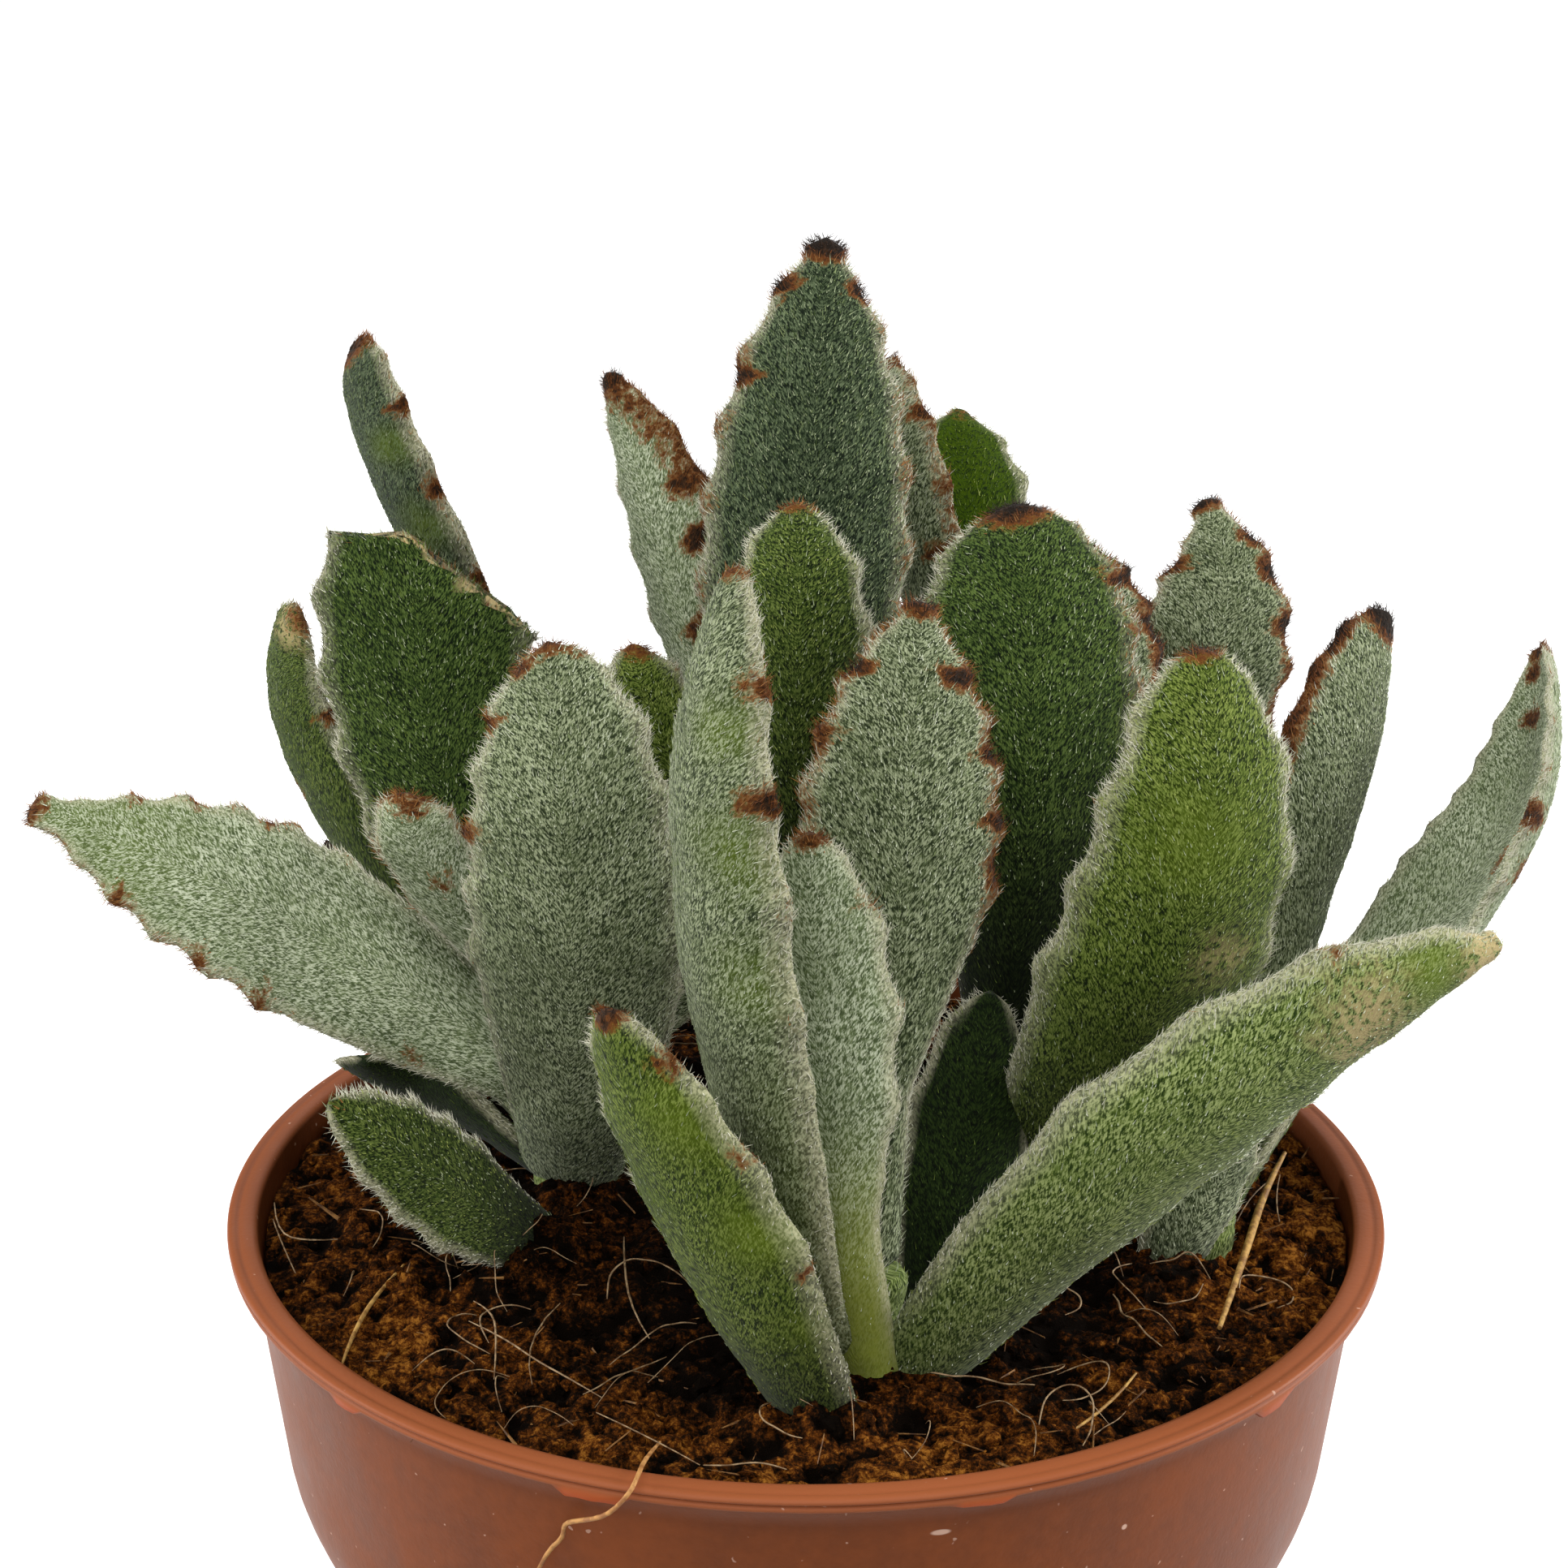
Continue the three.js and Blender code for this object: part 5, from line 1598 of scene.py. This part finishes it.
@dataclass(frozen=True)
class Pot:
    """A thin moulded pot with a flat rim.

    Attributes:
        foot: the radius of its foot.
        shoulder: the radius and height where its wall starts.
        wall_top: the wall's radius and height under the rim.
        wall: the wall's thickness.
        rim_thick: the rim's thickness.
        scraps: the torn scraps at the rim's lower edge.
    """

    foot: float = 38.0
    shoulder: Pair = (55.4, 27.0)
    wall_top: Pair = (57.9, 50.7)
    wall: float = 1.0
    rim_thick: float = 1.2
    scraps: tuple = (Scrap(163, 3, 0.8), Scrap(226, 4, 0.9), Scrap(252, 6, 1.0), Scrap(284, 6, 0.7),
                     Scrap(314, 5, 1.3), Scrap(343, 3, 0.8))

    STEPS = 320
    CURVE_STEPS = 14
    WALL_STEPS = 8
    RIM_EDGE = ((59.3, -0.12), (59.75, -0.1), (59.9, 0.02), (59.92, 0.22), (59.84, 0.36),
                (59.58, 0.44), (59.56, 0.52), (59.86, 0.62), (60.0, 0.78), (59.98, 0.95),
                (59.84, 1.1))
    RIM_TOP = ((59.55, 0.02), (59.1, 0.04), (58.9, 0.14), (58.7, 0.06), (57.6, 0.1), (57.1, 0.3))
    INNER_TOP = (56.9, 51.2)
    TORN_FROM = 59.2
    RAGGED = 0.12

    def shoulder_curve(self, inset: float) -> list[tuple]:
        """The curve from the foot to the wall, at a distance inside the outer face."""
        start = Vector((self.foot - inset, inset))
        low = Vector((46.4 - inset, 7.8 + inset))
        high = Vector((54.4 - inset, 18.8 + 0.3 * inset))
        end = Vector((self.shoulder[0] - inset, self.shoulder[1]))
        shares = [i / self.CURVE_STEPS for i in range(self.CURVE_STEPS + 1)]
        return [tuple((1 - s) ** 3 * start + 3 * s * (1 - s) ** 2 * low + 3 * s * s * (1 - s) * high
                      + s**3 * end) for s in shares]

    def rim_outline(self) -> list[Pair]:
        """The rim, from under its outer edge to its top: a lower band, a fine groove, a lip."""
        low = POT_HEIGHT - self.rim_thick
        edge = [(radius, low + up) for radius, up in self.RIM_EDGE]
        top = [(radius, POT_HEIGHT - down) for radius, down in self.RIM_TOP]
        return [(self.wall_top[0], low - 0.1), *edge, *top]

    def build(self) -> None:
        """Makes the pot, with its rim torn in places."""
        ends = tuple(zip(self.shoulder, self.wall_top))
        outer = [tuple(low + (high - low) * i / self.WALL_STEPS for low, high in ends)
                 for i in range(1, self.WALL_STEPS)]
        inner = [(radius - self.wall, height) for radius, height in reversed(outer)]
        form = spun([(0.0, 0.0), (self.foot - 3, 0.0), *self.shoulder_curve(0.0), *outer,
                     *self.rim_outline(), self.INNER_TOP, *inner,
                     *reversed(self.shoulder_curve(self.wall)), (0.0, self.wall)], self.STEPS)
        self.tear(form)
        bmesh.ops.recalc_face_normals(form, faces=form.faces)
        finish_piece(make_piece("pot_shell", form, Plastic().material()), "plastic", "pot")

    def tear(self, form: bmesh.types.BMesh) -> None:
        """Pulls the rim's lower edge down unevenly, most where a scrap hangs, and marks the rim."""
        torn, lip = number_layers(form, "torn", "lip")
        low = POT_HEIGHT - self.rim_thick
        for vert in form.verts:
            radius = math.hypot(vert.co.x, vert.co.y)
            vert[lip] = float(vert.co.z > low - 0.11 and radius > self.wall_top[0] - 1)
            if radius < self.TORN_FROM or vert.co.z > low + 0.1:
                continue
            direction = math.degrees(math.atan2(vert.co.y, vert.co.x)) % 360
            ragged = 0.5 + 0.5 * noise.noise(Vector((vert.co.x * 0.9, vert.co.y * 0.9, 5)))
            drop = self.RAGGED * ragged
            for scrap in self.scraps:
                off = abs((direction - scrap.direction + 180) % 360 - 180)
                share = smooth(off, scrap.span / 2, scrap.span / 2 - 0.8)
                drop = max(drop, share * scrap.drop * (0.55 + 0.45 * ragged))
            vert.co.z -= drop
            vert[torn] = smooth(drop, 0.1, 0.4)


# ---------------------------------------------------------------- studio


@dataclass(frozen=True)
class Lamp:
    """A soft light that looks at the plant.

    Attributes:
        name: the light's name.
        kind: a far light, "SUN", or a near one, "AREA".
        at: where it stands, in metres, which gives a far light its direction only.
        size: how soft it is: a far light's angle in degrees, or a near light's width in metres.
        power: its strength.
    """

    name: str
    kind: str
    at: Triple
    size: float
    power: float

    AIM = (0.0, 0.0, 0.08)

    def build(self) -> None:
        """Makes the light."""
        data = bpy.data.lights.new(self.name, self.kind)
        data.energy = self.power
        if self.kind == "SUN":
            data.angle = math.radians(self.size)
        else:
            data.shape = "DISK"
            data.size = self.size
        lamp = put(self.name, data)
        lamp.location = self.at
        way = Vector(self.AIM) - Vector(self.at)
        lamp.rotation_euler = way.to_track_quat("-Z", "Y").to_euler()


@dataclass(frozen=True)
class Studio:
    """A white floor, soft light and the camera.

    Attributes:
        camera_at: where the camera stands.
        pitch: how many degrees it looks down.
        view: its field of view in degrees.
        sky: the strength of the light from all round.
        white: the strength of the backdrop that the camera sees.
        lamps: the soft lights.
    """

    camera_at: Triple = (-2.2, -231.8, 169.1)
    pitch: float = 17.72
    view: float = 36.0
    sky: float = 0.1
    white: float = 1.05
    lamps: tuple = (
        Lamp("lamp_top", "SUN", (-0.12, -0.3, 1.0), 80.0, 1.75),
        Lamp("lamp_front", "SUN", (-0.3, -0.95, 0.55), 110.0, 2.35),
        Lamp("lamp_back", "SUN", (0.1, 0.9, 0.75), 50.0, 0.55),
        Lamp("lamp_left", "AREA", (-1.0, 0.1, 0.4), 0.7, 8.5),
        Lamp("lamp_right", "AREA", (1.0, 0.1, 0.4), 0.7, 14.0),
    )

    FLOOR_SIZE = 4000
    FLOOR_DROP = 0.2
    CLIP_START = 0.01
    WHITE = (1, 1, 1, 1)
    PAPER = (0.92, 0.92, 0.92, 1)

    def build(self) -> None:
        """Makes the floor, the lights and the camera."""
        scene = bpy.context.scene
        scene.view_settings.view_transform = "Standard"
        scene.world = self.backdrop()
        for lamp in self.lamps:
            lamp.build()
        self.floor()
        camera = put("camera", bpy.data.cameras.new("camera"))
        camera.location = Vector(self.camera_at) * MM
        camera.rotation_euler = (math.radians(90 - self.pitch), 0, 0)
        camera.data.angle = math.radians(self.view)
        camera.data.clip_start = self.CLIP_START
        scene.camera = camera

    def backdrop(self) -> bpy.types.World:
        """A world that lights the plant softly and looks white."""
        world = bpy.data.worlds.new("soft_light")
        world.use_nodes = True
        graph = Graph(world.node_tree)
        light = world.node_tree.nodes["Background"].inputs
        seen = graph.out("ShaderNodeLightPath", name="Is Camera Ray")
        graph.feed(light["Color"], self.WHITE)
        graph.feed(light["Strength"], seen.span(0.0, 1.0, self.sky, self.white))
        return world

    def floor(self) -> None:
        """A plain white floor, which throws no light back up into the leaves."""
        form = bmesh.new()
        bmesh.ops.create_grid(form, x_segments=1, y_segments=1, size=self.FLOOR_SIZE)
        bmesh.ops.translate(form, vec=(0, 0, -self.FLOOR_DROP), verts=form.verts)
        paper = Shader("white_paper", 0.9, Emission_Color=self.WHITE, Emission_Strength=0.3)
        paper.paint(self.PAPER)
        floor = make_piece("floor", form, paper.material)
        floor.visible_diffuse = False


def main() -> None:
    """Builds the studio, the pot, the soil and every part of the plant."""
    logging.basicConfig(level=logging.INFO, format="%(message)s")
    Studio().build()
    Pot().build()
    Soil().build()
    for strand in STRANDS:
        strand.build()
    fur = Fur()
    for seed, stem in enumerate(STEMS):
        stem.build(fur, seed)
    for seed, leaf in enumerate(LEAVES):
        leaf.build(fur, seed)


if __name__ == "__main__":
    main()
